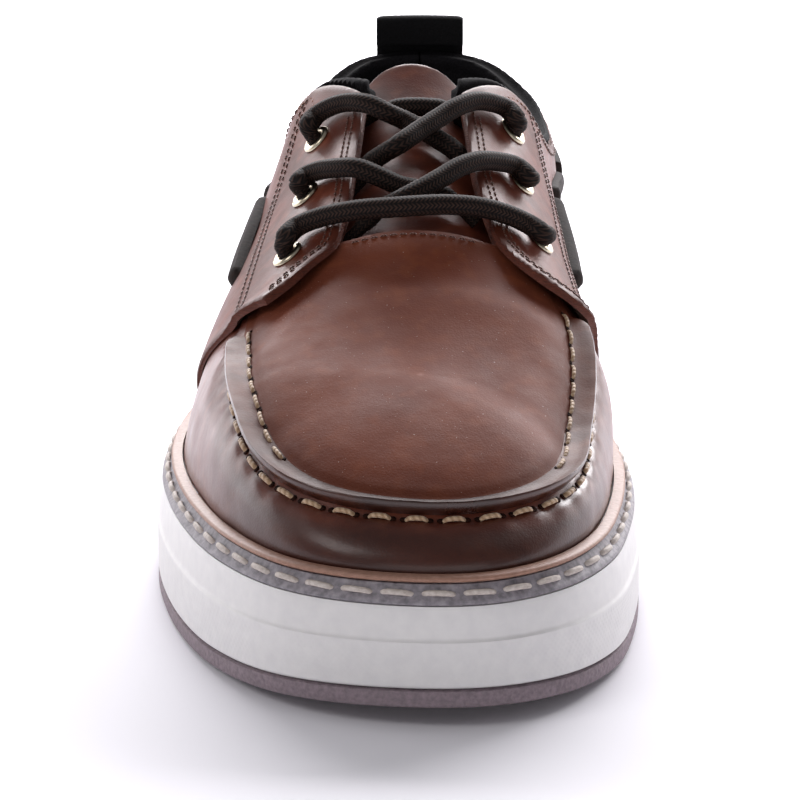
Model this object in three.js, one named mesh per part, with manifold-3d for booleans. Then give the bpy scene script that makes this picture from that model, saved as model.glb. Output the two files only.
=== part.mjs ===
import * as THREE from 'three';
import { mergeVertices } from 'three/addons/utils/BufferGeometryUtils.js';
import Module from 'manifold-3d';

// A right boat shoe: cup sole with a stitched welt, hand-sewn toe seam, two lifted lace flaps.
// Millimetres, +Z up, toe towards -Y, big toe's side towards +X.

const wasm = await Module();
wasm.setup();

// Driving dimensions
const SOLE_LENGTH = 306;
const BALL_WIDTH = 112;
const SOLE_HEIGHT = 24; // top of the side wall at the ball, above the floor
const TOE_SPRING = 4.2; // lift of the tread at the very toe
const OUTSOLE_THICKNESS = 3.6;
const FEATHER_INSET = 6.2; // the upper's foot, inside the sole's outline
const WELT_RISE = 5.2; // the upper's visible foot, above the side wall's top
const WALL_DRAFT = 1.2; // the side wall leans in by this much at its top
const WALL_STEP = 0.6; // the smooth band stands back from the ribbed one
const TREAD_BEVEL = 0.6; // round lower edge of the outsole
const WELT_LIP = 0.6; // thickness of the welt's outer edge
const WELT_TOP_INSET = 4.1; // the sloping welt ends here, inside the sole's outline
const RAND_RISE = 1.3; // strip round the upper's foot, above the welt
const RAND_PROUD = 0.7;
const INSTEP_RISE = 69; // crest of the last above the upper's foot, at the top eyelets
const LEATHER = 2; // the upper's wall
const OVERLAY = 1.5; // quarter leather
const GAP = 0.3; // clearance between pieces that touch
const SEAT = 0.86; // clearance under what lies on the faceted quarters
const LINING = 3; // padded collar lining
const LINING_DEPTH = 20;
const LINING_PROUD = 1.5;
const TONGUE = 2;
const TONGUE_SINK = 3.3; // how far laces press the tongue below the vamp
const TONGUE_FOOT = 0.25; // its sides end at this share of INSTEP_RISE above the upper's foot
const FOOTBED = 4;
const RIDGE_WIDTH = 4.6; // the raised toe seam
const RIDGE_HEIGHT = 2.6;
const RIDGE_END_GAP = 1.2; // from the ends of the seam to the flaps' corners
const EYELET_OUTER = 4; // radius of the flange
const EYELET_BORE = 2.1;
const EYELET_FLANGE = 0.6;
const EYELET_WALL = 0.5;
const LACE_RADIUS = 2.45;
const THONG_WIDTH = 5;
const THONG_THICKNESS = 2.2;
const TAB_WIDTH = 25;
const TAB_RISE = 10; // loop above the collar
const TAB_TAIL = 20; // loop sewn down the heel
const WEBBING = 1.4;
const SIPE_WIDTH = 2;
const SIPE_DEPTH = 1.5;
const SIPE_PITCH = 12.4;

const named = (columns, rows) =>
  rows.map((row) => Object.fromEntries(row.map((value, k) => [columns[k], value])));

// Ground outline of the sole: shares of the ball width and of the length
const OUTLINE = named(['across', 'at'], [
  [0.045, -0.5], [-0.122, -0.489], [-0.25, -0.46], [-0.365, -0.4], [-0.455, -0.315], [-0.52, -0.205],
  [-0.532, -0.11], [-0.497, 0.01], [-0.445, 0.14], [-0.402, 0.28], [-0.35, 0.4], [-0.215, 0.475],
  [0, 0.5], [0.215, 0.475], [0.345, 0.4], [0.375, 0.28], [0.362, 0.14], [0.395, 0],
  [0.433, -0.11], [0.446, -0.205], [0.422, -0.31], [0.368, -0.398], [0.275, -0.458], [0.16, -0.491],
]);

// Sole seen from the side: tread lift in shares of TOE_SPRING, the rest in shares of SOLE_HEIGHT
const SOLE_ROWS = named(['at', 'tread', 'top', 'floor'], [
  [-0.5, 1, 1.017, 0.58],
  [-0.42, 0.43, 1.003, 0.53],
  [-0.33, 0.1, 1, 0.51],
  [-0.25, 0, 1, 0.5],
  [0, 0, 1.042, 0.55],
  [0.2, 0, 1.125, 0.7],
  [0.42, 0, 1.26, 0.85],
  [0.5, 0.36, 1.31, 0.87],
]);

// Sections of the last. Heights are shares of INSTEP_RISE above the upper's foot, insets and swells
// shares of BALL_WIDTH, roll the lean of the shoulder in degrees; l is the little toe's side, m the other.
const LAST_ROWS = named(
  ['at', 'crest', 'shoulder_l', 'shoulder_m', 'inset_l', 'inset_m', 'swell_l', 'swell_m', 'roll'],
  [
    [-0.5, 0.37, 0.129, 0.129, 0.126, 0.126, 0.003, 0.003, 24],
    [-0.42, 0.375, 0.19, 0.157, 0.065, 0.057, 0.003, 0.003, 32],
    [-0.3, 0.39, 0.322, 0.238, 0.083, 0.06, -0.004, 0, 42],
    [-0.2, 0.563, 0.399, 0.417, 0.117, 0.07, -0.016, -0.004, 46],
    [-0.13, 0.719, 0.457, 0.522, 0.138, 0.103, -0.025, -0.009, 48],
    [-0.05, 0.864, 0.558, 0.638, 0.143, 0.107, -0.025, -0.009, 50],
    [0.04, 1.007, 0.667, 0.754, 0.134, 0.085, -0.018, 0, 58],
    [0.12, 1.217, 0.746, 0.797, 0.094, 0.049, -0.009, 0.004, 70],
    [0.2, 1.42, 0.754, 0.775, 0.08, 0.027, 0, 0.009, 80],
    [0.3, 1.61, 0.754, 0.754, 0.058, 0.013, 0.018, 0.018, 82],
    [0.42, 1.63, 0.797, 0.797, 0.045, 0.027, 0.022, 0.022, 82],
    [0.5, 1.62, 0.84, 0.84, 0.054, 0.054, 0.031, 0.031, 80],
  ],
);
const TOE_CENTRE = -0.3 * SOLE_LENGTH;
const HEEL_CENTRE = 0.36 * SOLE_LENGTH;
const CREST_SHIFT = named(['at', 'across'], [
  [-0.5, 0.027], [-0.3, 0.009], [-0.1, -0.009], [0.1, -0.018], [0.5, 0],
]);

// Topline seen from the side: shares of SOLE_LENGTH, and of INSTEP_RISE above the upper's foot
const TOPLINE = named(['at', 'rise'], [
  [0.041, 0.985], [0.065, 1.018], [0.092, 1.022], [0.111, 1.0], [0.131, 0.945], [0.157, 0.84],
  [0.196, 0.748], [0.261, 0.68], [0.327, 0.683], [0.392, 0.75], [0.451, 0.85], [0.505, 0.9],
]);

// Free edges of the two lace flaps seen from above, front corner first
const FLAPS = {
  lateral: named(['across', 'at'], [
    [-0.362, -0.183], [-0.308, -0.192], [-0.25, -0.182], [-0.204, -0.163], [-0.163, -0.145],
    [-0.148, -0.118], [-0.136, -0.085], [-0.127, -0.031], [-0.118, 0.016], [-0.109, 0.06],
  ]),
  medial: named(['across', 'at'], [
    [0.346, -0.163], [0.296, -0.175], [0.247, -0.175], [0.196, -0.162], [0.161, -0.135],
    [0.143, -0.106], [0.129, -0.082], [0.109, -0.028], [0.1, 0.02], [0.088, 0.06],
  ]),
};
const THROAT_AT = -0.134; // front end of the lacing's opening
const THROAT_BOW = 0.011;
const FLAP_LEDGE = 1; // the wall under a flap ends this far behind the flap's edge
// Front edge of a quarter on the side, from the flap's corner down to the welt
const QUARTER_FRONT = named(['at', 'rise'], [[-0.2, 0.37], [-0.183, 0.34], [-0.046, 0.02]]);

// Tongue seen from above, one half: shares of half its width and of the length
const TONGUE_HALF_WIDTH = 25;
const TONGUE_OUTLINE = named(['across', 'at'], [
  [0.84, -0.2], [0.96, -0.08], [1, 0.04], [0.95, 0.068], [0.77, 0.087], [0.48, 0.099], [0.2, 0.103],
]);

const EYELETS = named(['side', 'row', 'across', 'at'], [
  ['lateral', 1, -0.2547, -0.1219], ['lateral', 2, -0.2257, -0.0413], ['lateral', 3, -0.21, 0.0423],
  ['medial', 1, 0.2421, -0.0928], ['medial', 2, 0.2096, -0.0135], ['medial', 3, 0.1961, 0.0574],
]);

// Routes of the laces: across and along the shoe, and height of the cord's middle above the last
const OVER_FLAP = OVERLAY + GAP + LACE_RADIUS + 0.5;
const LACES = {
  lace_bar: [named(['across', 'at', 'lift'], [
    [-0.24, -0.1232, 1.25], [-0.223, -0.1108, 1.12], [-0.184, -0.1139, 1], [-0.115, -0.1228, 1],
    [-0.032, -0.1279, 1], [0.054, -0.1228, 1], [0.117, -0.1159, 1], [0.17, -0.1098, 1],
    [0.205, -0.1078, 1.06], [0.226, -0.1124, 1.2],
  ])],
  lace_cross_lower: [
    named(['across', 'at', 'lift'], [
      [-0.218, -0.045, 1.28], [-0.208, -0.0359, 1.19], [-0.186, -0.0411, 1.05], [-0.1465, -0.0555, 1],
      [-0.113, -0.0652, 0.93], [-0.079, -0.0712, 0.4], [-0.036, -0.0748, -0.2], [0.011, -0.0778, -0.3],
      [0.059, -0.0806, -0.3],
    ]),
    named(['across', 'at', 'lift'], [
      [0.202, -0.0285, 1.25], [0.182, -0.0219, 1.1], [0.146, -0.0349, 1], [0.111, -0.0499, 1],
      [0.079, -0.0648, 0.86], [0.046, -0.0808, 0.58], [0.012, -0.0941, 0.48], [-0.0245, -0.103, 0.32],
      [-0.056, -0.1014, -0.06], [-0.091, -0.0981, -0.36],
    ]),
  ],
  lace_cross_upper: [
    named(['across', 'at', 'lift'], [
      [-0.204, 0.0433, 1.28], [-0.197, 0.0547, 1.15], [-0.1715, 0.0518, 1.03], [-0.136, 0.0427, 1],
      [-0.095, 0.0283, 0.93], [-0.064, 0.0212, 0.45], [-0.031, 0.0216, -0.15], [0.015, 0.0116, -0.3],
      [0.051, 0.0021, -0.3], [0.083, -0.0051, -0.3],
    ]),
    named(['across', 'at', 'lift'], [
      [0.181, 0.0494, 1.27], [0.1685, 0.0595, 1.12], [0.135, 0.0515, 1.02], [0.104, 0.0406, 1],
      [0.0705, 0.0238, 0.88], [0.039, 0.0072, 0.58], [0.0015, -0.0117, 0.44], [-0.042, -0.0311, 0.32],
      [-0.0745, -0.0284, -0.08], [-0.105, -0.0267, -0.36],
    ]),
  ],
  lace_tuck: [named(['across', 'at', 'lift'], [
    [-0.071, 0.0459, -0.5], [-0.042, 0.0456, -0.51], [-0.006, 0.046, -0.51], [0.032, 0.0475, -0.51],
    [0.07, 0.0502, -0.5],
  ])],
};

// Side lace: where each stretch leaves and enters the quarter, and how far it stands off
const THONGS = named(['start', 'start_rise', 'end', 'end_rise', 'bow'], [
  [-0.035, 0.43, 0.105, 0.585, 3.2],
  [0.15, 0.575, 0.265, 0.535, 1],
  [0.305, 0.535, 0.355, 0.56, 0.8],
]);

// Smooth line through a column of a table, read at a place along the shoe
function along(rows, column, size) {
  const x = rows.map((row) => row.at * SOLE_LENGTH);
  const v = rows.map((row) => row[column] * size);
  const step = x.slice(1).map((end, k) => end - x[k]);
  const rise = step.map((width, k) => (v[k + 1] - v[k]) / width);
  const slope = x.map((_, k) => {
    if (k === 0) return rise[0];
    if (k === x.length - 1) return rise[k - 1];
    return (rise[k - 1] * step[k] + rise[k] * step[k - 1]) / (step[k - 1] + step[k]);
  });
  return (place) => {
    const y = THREE.MathUtils.clamp(place, x[0], x[x.length - 1]);
    let k = 0;
    while (k < step.length - 1 && y > x[k + 1]) k += 1;
    const t = (y - x[k]) / step[k];
    const s = 1 - t;
    return s * s * (1 + 2 * t) * v[k] + s * s * t * step[k] * slope[k]
      + t * t * (3 - 2 * t) * v[k + 1] - t * t * s * step[k] * slope[k + 1];
  };
}

const treadLift = along(SOLE_ROWS, 'tread', TOE_SPRING);
const tread = (y) => Math.max(0, treadLift(y)); // flat where the shoe stands
const wallTop = along(SOLE_ROWS, 'top', SOLE_HEIGHT);
const cupFloor = along(SOLE_ROWS, 'floor', SOLE_HEIGHT);
const featherHeight = (y) => wallTop(y) + WELT_RISE;
const crestRise = along(LAST_ROWS, 'crest', INSTEP_RISE);
const crestHeight = (y) => featherHeight(y) + crestRise(y);
const crestAcross = along(CREST_SHIFT, 'across', BALL_WIDTH);
const roll = along(LAST_ROWS, 'roll', Math.PI / 180);
const sideLine = (name, size) => ({
  l: along(LAST_ROWS, `${name}_l`, size),
  m: along(LAST_ROWS, `${name}_m`, size),
});
const shoulder = sideLine('shoulder', INSTEP_RISE);
const inset = sideLine('inset', BALL_WIDTH);
const swell = sideLine('swell', BALL_WIDTH);
const topRise = along(TOPLINE, 'rise', INSTEP_RISE);
const topline = (y) => featherHeight(y) + topRise(y);

// The outline as a fine closed line with its outward directions
const OUTLINE_STEPS = 12;
const outlineCurve = new THREE.CatmullRomCurve3(
  OUTLINE.map((row) => new THREE.Vector3(row.across * BALL_WIDTH, row.at * SOLE_LENGTH, 0)),
  true,
  'centripetal',
);
const outlineCount = OUTLINE.length * OUTLINE_STEPS;
const outline = Array.from({ length: outlineCount }, (_, k) => outlineCurve.getPoint(k / outlineCount));
const outward = outline.map((_, k) => {
  const next = outline[(k + 1) % outlineCount];
  const last = outline[(k + outlineCount - 1) % outlineCount];
  return new THREE.Vector3(last.y - next.y, next.x - last.x, 0).normalize();
});
const feather = outline.map((point, k) => point.clone().addScaledVector(outward[k], -FEATHER_INSET));

// Stations run round the shoe: a fan at the toe, straight rays along the sides, a fan at the heel.
// Station k and station STATIONS - k face each other.
const TOE_FAN_STEPS = 6;
const SIDES = 12;
const HEEL_FAN_STEPS = 5;
const HALF = TOE_FAN_STEPS + SIDES + HEEL_FAN_STEPS;
const STATIONS = 2 * HALF;

function hitFeather(spine, direction) {
  for (let k = 0; k < outlineCount; k += 1) {
    const next = (k + 1) % outlineCount;
    const edge = feather[next].clone().sub(feather[k]);
    const toStart = feather[k].clone().sub(spine);
    const cross = direction.x * edge.y - direction.y * edge.x;
    const reach = (toStart.x * edge.y - toStart.y * edge.x) / cross;
    const share = (toStart.x * direction.y - toStart.y * direction.x) / cross;
    if (reach > 0 && share >= 0 && share < 1) {
      const out = outward[k].clone().lerp(outward[next], share).normalize();
      return { reach, out, foot: feather[k].clone().lerp(feather[next], share) };
    }
  }
  throw new Error('a ray of the last misses the outline');
}

const stationCache = new Map();
function station(place) {
  const k = ((place % STATIONS) + STATIONS) % STATIONS;
  const key = k.toFixed(5);
  if (stationCache.has(key)) return stationCache.get(key);
  const mirrored = k > HALF;
  const half = mirrored ? STATIONS - k : k;
  const side = mirrored ? 1 : -1;
  let y = TOE_CENTRE;
  let direction;
  if (half < TOE_FAN_STEPS) {
    const angle = (half / TOE_FAN_STEPS) * Math.PI / 2;
    direction = new THREE.Vector3(side * Math.sin(angle), -Math.cos(angle), 0);
  } else if (half <= TOE_FAN_STEPS + SIDES) {
    y = THREE.MathUtils.lerp(TOE_CENTRE, HEEL_CENTRE, (half - TOE_FAN_STEPS) / SIDES);
    direction = new THREE.Vector3(side, 0, 0);
  } else {
    y = HEEL_CENTRE;
    const angle = ((half - TOE_FAN_STEPS - SIDES) / HEEL_FAN_STEPS) * Math.PI / 2;
    direction = new THREE.Vector3(side * Math.cos(angle), Math.sin(angle), 0);
  }
  const spine = new THREE.Vector3(crestAcross(y), y, 0);
  const medial = THREE.MathUtils.clamp(
    0.5 + 0.5 * Math.sign(direction.x) * Math.abs(direction.x) ** 0.7, 0, 1,
  );
  const found = { spine, direction, medial, ...hitFeather(spine, direction) };
  stationCache.set(key, found);
  return found;
}
const stationAt = (y, side) => {
  const k = TOE_FAN_STEPS + ((y - TOE_CENTRE) / (HEEL_CENTRE - TOE_CENTRE)) * SIDES;
  return side < 0 ? k : STATIONS - k;
};

const bezier = (a, b, c, d, t) => {
  const s = 1 - t;
  return s * s * s * a + 3 * s * s * t * b + 3 * s * t * t * c + t * t * t * d;
};

// Section of the last at a station, as two cubic curves in distance from the spine and height:
// share 0 to 1 is the side wall from the foot to the shoulder, 1 to 2 the top from there to the crest.
const WALL_LEAN = 0.42;
const TOP_LEAN = 0.3;
const CREST_FLAT = 0.38;
function section(at) {
  if (at.curve) return at.curve;
  const y = at.foot.y;
  const mix = (pair) => THREE.MathUtils.lerp(pair.l(y), pair.m(y), at.medial);
  const rise = mix(shoulder);
  const depth = mix(inset);
  const low = featherHeight(y);
  const crest = crestHeight(at.spine.y);
  const slope = (crestHeight(at.spine.y + 1) - crestHeight(at.spine.y - 1)) / 2;
  const along2 = Math.hypot(1, slope * at.direction.y);
  const corner = { r: at.reach - depth, z: low + rise };
  const lean = Math.hypot(depth, rise);
  const span = Math.hypot(corner.r, crest - corner.z);
  const across = -Math.cos(roll(y));
  const up = Math.sin(roll(y));
  at.curve = {
    slope,
    lean,
    span,
    wall: {
      r: [at.reach, at.reach + mix(swell), corner.r - across * WALL_LEAN * lean, corner.r],
      z: [low, low + 0.45 * rise, corner.z - up * WALL_LEAN * lean, corner.z],
    },
    top: {
      r: [corner.r, corner.r + across * TOP_LEAN * span, (CREST_FLAT * span) / along2, 0],
      z: [corner.z, corner.z + up * TOP_LEAN * span,
        crest + (slope * at.direction.y * CREST_FLAT * span) / along2, crest],
    },
  };
  return at.curve;
}

function lastPoint(k, share) {
  const at = station(k);
  const curve = section(at);
  const part = share <= 1 ? curve.wall : curve.top;
  const t = share <= 1 ? share : share - 1;
  const r = bezier(...part.r, t);
  return at.spine.clone().addScaledVector(at.direction, r).setZ(bezier(...part.z, t));
}

function lastNormal(k, share) {
  if (share > 1.999) return new THREE.Vector3(0, -section(station(k)).slope, 1).normalize();
  const round = lastPoint(k + 0.2, share).sub(lastPoint(k - 0.2, share));
  const up = lastPoint(k, Math.min(share + 0.02, 1.999)).sub(lastPoint(k, Math.max(share - 0.02, 0)));
  return up.cross(round).normalize();
}

const offLast = (k, share, lift) => lastPoint(k, share).addScaledVector(lastNormal(k, share), lift);

// Share of the section at a station where a measure of the point passes a value
function solveShare(k, low, high, measure) {
  let a = low;
  let b = high;
  const falling = measure(lastPoint(k, a)) > measure(lastPoint(k, b));
  for (let step = 0; step < 30; step += 1) {
    const middle = (a + b) / 2;
    if (measure(lastPoint(k, middle)) > 0 === falling) a = middle;
    else b = middle;
  }
  return (a + b) / 2;
}
const overTop = (x, y, lift) => {
  const spineX = crestAcross(y);
  const k = stationAt(y, x < spineX ? -1 : 1);
  const share = solveShare(k, 0.6, 2, (point) => Math.abs(point.x - spineX) - Math.abs(x - spineX));
  return { k, share, point: offLast(k, share, lift), normal: lastNormal(k, share) };
};
const onSide = (y, side, z, lift) => {
  const k = stationAt(y, side);
  const share = solveShare(k, 0, 1.2, (point) => point.z - z);
  return { point: offLast(k, share, lift), normal: lastNormal(k, share) };
};

// Closed solid from faces of three or four points
function solidOf(faces) {
  const position = [];
  for (const face of faces) {
    for (let k = 2; k < face.length; k += 1) {
      for (const point of [face[0], face[k - 1], face[k]]) position.push(point.x, point.y, point.z);
    }
  }
  return solidFrom(new THREE.BufferGeometry()
    .setAttribute('position', new THREE.Float32BufferAttribute(position, 3)));
}

function solidFrom(geometry) {
  const bare = geometry.clone();
  bare.deleteAttribute('normal');
  bare.deleteAttribute('uv');
  const merged = mergeVertices(bare, 1e-3);
  const index = merged.index.array;
  const triangles = [];
  for (let k = 0; k < index.length; k += 3) {
    const [a, b, c] = [index[k], index[k + 1], index[k + 2]];
    if (a !== b && b !== c && c !== a) triangles.push([a, b, c]);
  }
  const points = merged.attributes.position;
  const corner = (k) => new THREE.Vector3().fromBufferAttribute(points, k);
  const volume = triangles.reduce((sum, [a, b, c]) => sum + corner(a).dot(corner(b).cross(corner(c))), 0);
  const outside = volume > 0 ? triangles : triangles.map(([a, b, c]) => [a, c, b]);
  return new wasm.Manifold(new wasm.Mesh({
    numProp: 3,
    vertProperties: new Float32Array(points.array),
    triVerts: new Uint32Array(outside.flat()),
  }));
}

function geometryOf(solid) {
  const mesh = solid.getMesh();
  const geometry = new THREE.BufferGeometry();
  geometry.setAttribute('position', new THREE.BufferAttribute(mesh.vertProperties, 3));
  geometry.setIndex(new THREE.BufferAttribute(mesh.triVerts, 1));
  return geometry;
}

const ringPair = (a, b) => a.map((point, k) => {
  const next = (k + 1) % a.length;
  return [point, a[next], b[next], b[k]];
});

// Flat or gently bent lid of a ring of stations, from each point to the one that faces it
const lid = (ring, top) => Array.from({ length: HALF }, (_, k) => {
  const facing = ring[(STATIONS - k) % STATIONS];
  const face = [ring[k], ring[k + 1], ring[STATIONS - k - 1], facing];
  return top ? face : face.reverse();
});

// Solid between rings of stations, each ring a station's inset and height
function stack(rings) {
  const made = rings.map((ring) => Array.from({ length: STATIONS }, (_, k) => {
    const at = station(k);
    const point = at.foot.clone().addScaledVector(at.out, FEATHER_INSET + ring.out);
    return point.setZ(ring.height(point.y));
  }));
  const walls = made.slice(1).flatMap((ring, k) => ringPair(made[k], ring));
  return solidOf([...lid(made[0], false), ...walls, ...lid(made[made.length - 1], true)]);
}

// Band round the sole with one closed section: corners are pairs of outset and height above the wall's top
function band(corners) {
  const rings = corners.map(([out, height]) => Array.from({ length: STATIONS }, (_, k) => {
    const at = station(k);
    const point = at.foot.clone().addScaledVector(at.out, FEATHER_INSET + out);
    return point.setZ(wallTop(point.y) + height);
  }));
  return solidOf(rings.flatMap((ring, k) => ringPair(ring, rings[(k + 1) % rings.length])));
}

// The last grown or shrunk by lift, from a level inside the cup up to the closed crest
const WALL_STEPS = 4;
const TOP_STEPS = 6;
function form(lift, foot = cupFloor) {
  const amount = typeof lift === 'function' ? lift : () => lift;
  const shares = [
    ...Array.from({ length: WALL_STEPS }, (_, k) => k / WALL_STEPS),
    ...Array.from({ length: TOP_STEPS + 1 }, (_, k) => 1 + k / TOP_STEPS),
  ];
  const rings = shares.map((share) => Array.from({ length: STATIONS }, (_, k) => (
    offLast(k, share, amount(lastPoint(k, share).y)))));
  const skirt = rings[0].map((point) => point.clone().setZ(foot(point.y)));
  rings.unshift(skirt);
  const walls = rings.slice(1).flatMap((ring, k) => ringPair(rings[k], ring));
  return solidOf([...lid(skirt, false), ...walls]);
}

// Straight-sided cutters from outlines seen from above (x, y) and from the side (y, z)
const FAR = 400;
function cutter(points, depth) {
  const shape = new THREE.Shape(points.map(([a, b]) => new THREE.Vector2(a, b)));
  return new THREE.ExtrudeGeometry(shape, { depth, bevelEnabled: false, steps: 1 });
}
const fromAbove = (points) => solidFrom(cutter(points, FAR));
const fromSide = (points) => {
  const turn = new THREE.Matrix4().set(0, 0, 1, -FAR / 2, 1, 0, 0, 0, 0, 1, 0, 0, 0, 0, 0, 1);
  return solidFrom(cutter(points, FAR).applyMatrix4(turn));
};

const TOPLINE_STEPS = 22;
const toplineStart = TOPLINE[0].at * SOLE_LENGTH;
const toplineEnd = TOPLINE[TOPLINE.length - 1].at * SOLE_LENGTH;
const toplinePoints = (raise) => Array.from({ length: TOPLINE_STEPS + 1 }, (_, k) => {
  const y = THREE.MathUtils.lerp(toplineStart, toplineEnd, k / TOPLINE_STEPS);
  return [y, topline(y) + raise];
});
const aboveTopline = (raise) => fromSide([
  [toplineStart - 1, FAR], ...toplinePoints(raise), [toplineEnd + 20, topline(toplineEnd) + raise],
  [toplineEnd + 20, FAR],
]);

const flapEdge = (side, shift) => FLAPS[side].map((row) => [
  row.across * BALL_WIDTH + Math.sign(row.across) * shift, row.at * SOLE_LENGTH,
]);
// One side of the shoe behind its flap's free edge, seen from above
function behindFlap(side, seam) {
  const sign = side === 'lateral' ? -1 : 1;
  const edge = flapEdge(side, 0);
  const [cornerX, cornerY] = edge[0];
  return fromAbove([
    [sign * BALL_WIDTH, cornerY], [cornerX, cornerY], ...edge.slice(1),
    [edge[edge.length - 1][0], HEEL_CENTRE],
    [sign * seam, HEEL_CENTRE], [sign * seam, SOLE_LENGTH], [sign * BALL_WIDTH, SOLE_LENGTH],
  ]);
}

function throatCutter() {
  const front = FLAPS.lateral.findIndex((row) => row.at > THROAT_AT);
  const left = flapEdge('lateral', FLAP_LEDGE).slice(front);
  const right = flapEdge('medial', FLAP_LEDGE).slice(front);
  const bow = [0.5, 0, -0.5].map((share) => [
    share * (left[0][0] - right[0][0]) / 2 + (left[0][0] + right[0][0]) / 2,
    (THROAT_AT + THROAT_BOW * share * share) * SOLE_LENGTH,
  ]);
  return fromAbove([
    ...left.reverse(), ...bow, ...right,
    [right[right.length - 1][0], HEEL_CENTRE / 2], [left[0][0], HEEL_CENTRE / 2],
  ]);
}

function outsole() {
  const body = stack([
    { out: -TREAD_BEVEL, height: tread },
    { out: 0, height: (y) => tread(y) + 1.3 * TREAD_BEVEL },
    { out: 0, height: (y) => tread(y) + OUTSOLE_THICKNESS },
  ]);
  const reach = SOLE_LENGTH * 0.42;
  const count = Math.floor(reach / SIPE_PITCH);
  const sipes = Array.from({ length: 2 * count + 1 }, (_, k) => (k - count + 0.5) * SIPE_PITCH)
    .filter((y) => Math.abs(y) < reach && Math.abs(y - 0.05 * SOLE_LENGTH) > 0.1 * SOLE_LENGTH)
    .map((y) => {
      const box = new THREE.BoxGeometry(2 * BALL_WIDTH, SIPE_WIDTH, 2 * SIPE_DEPTH);
      return solidFrom(box.translate(0, y, 0));
    });
  return sipes.reduce((solid, sipe) => solid.subtract(sipe), body);
}

function midsole() {
  const base = (y) => tread(y) + OUTSOLE_THICKNESS + GAP;
  const share = (part) => (y) => THREE.MathUtils.lerp(base(y), wallTop(y), part);
  return stack([
    { out: 0, height: base },
    { out: 0, height: share(0.58) },
    { out: -WALL_STEP, height: share(0.62) },
    { out: -WALL_DRAFT, height: wallTop },
    { out: GAP - FEATHER_INSET, height: wallTop },
    { out: GAP - FEATHER_INSET, height: cupFloor },
  ]);
}

const weltCrown = WELT_RISE - RAND_RISE;
const randTop = weltCrown + GAP + 0.92 * RAND_RISE;

function welt() {
  const inner = GAP - FEATHER_INSET;
  const lip = -WALL_DRAFT - GAP;
  return band([
    [inner, GAP], [lip, GAP], [lip - 0.3 * WELT_LIP, GAP + WELT_LIP], [-WELT_TOP_INSET, weltCrown],
    [inner, weltCrown],
  ]);
}

function rand() {
  const inner = GAP - FEATHER_INSET;
  const low = weltCrown + GAP;
  return band([
    [inner, low], [-WELT_TOP_INSET, low], [RAND_PROUD - WELT_TOP_INSET, low + 0.4 * RAND_RISE],
    [0.3 * RAND_PROUD - WELT_TOP_INSET, low + 0.85 * RAND_RISE], [inner, randTop],
  ]);
}

function insole() {
  const edge = -FEATHER_INSET - LEATHER - GAP;
  return stack([
    { out: edge, height: (y) => cupFloor(y) + GAP },
    { out: edge, height: (y) => cupFloor(y) + GAP + FOOTBED * 0.8 },
    { out: edge - 2, height: (y) => cupFloor(y) + GAP + FOOTBED },
  ]);
}

const eyeletFrame = (row) => overTop(row.across * BALL_WIDTH, row.at * SOLE_LENGTH, 0);
const placed = (geometry, { point, normal }) => {
  const turn = new THREE.Quaternion().setFromUnitVectors(new THREE.Vector3(0, 0, 1), normal);
  return geometry.applyMatrix4(new THREE.Matrix4().compose(point, turn, new THREE.Vector3(1, 1, 1)));
};
const EYELET_SIDES = 10;
function eyeletHoles(side) {
  return EYELETS.filter((row) => row.side === side).map((row) => {
    const radius = EYELET_BORE + EYELET_WALL + GAP;
    const drill = new THREE.CylinderGeometry(radius, radius, 12, EYELET_SIDES);
    return solidFrom(placed(drill.rotateX(Math.PI / 2), eyeletFrame(row)));
  });
}
const drilled = (solid, side) => eyeletHoles(side).reduce((left, hole) => left.subtract(hole), solid);

// The upper: one hollow wall, open at the collar, the throat and underneath
function upper() {
  const foot = (y) => cupFloor(y) + GAP;
  const wall = form(0, foot)
    .subtract(form(-LEATHER, (y) => cupFloor(y) - SOLE_HEIGHT))
    .subtract(aboveTopline(0))
    .subtract(throatCutter());
  return drilled(drilled(wall, 'lateral'), 'medial');
}

const quarterShell = form(GAP + OVERLAY).subtract(form(GAP));
const aboveWelt = stack([
  { out: 20, height: (y) => wallTop(y) + randTop + GAP },
  { out: 20, height: (y) => wallTop(y) + FAR },
]);
const quarterSide = fromSide([
  [QUARTER_FRONT[0].at * SOLE_LENGTH, FAR],
  ...QUARTER_FRONT.map((row) => {
    const y = row.at * SOLE_LENGTH;
    return [y, featherHeight(y) + row.rise * INSTEP_RISE];
  }),
  [QUARTER_FRONT[2].at * SOLE_LENGTH, 0],
  [SOLE_LENGTH, 0],
  [SOLE_LENGTH, FAR],
]);
const SEAM = 0.2; // half the gap of the seam at the back of the heel

// Outer leather of one side: lace flap, side and heel
function quarter(side) {
  const solid = quarterShell
    .intersect(behindFlap(side, SEAM))
    .intersect(quarterSide)
    .intersect(aboveWelt)
    .subtract(aboveTopline(0));
  return drilled(solid, side);
}

// Padded lining inside the collar, a little proud of it
function collarLining() {
  const shell = form(-LEATHER - GAP).subtract(form(-LEATHER - GAP - LINING));
  const strip = fromSide([...toplinePoints(-LINING_DEPTH), ...toplinePoints(LINING_PROUD).reverse()]);
  const bothSides = behindFlap('lateral', 0).add(behindFlap('medial', 0));
  return shell.intersect(strip).intersect(bothSides);
}

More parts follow.
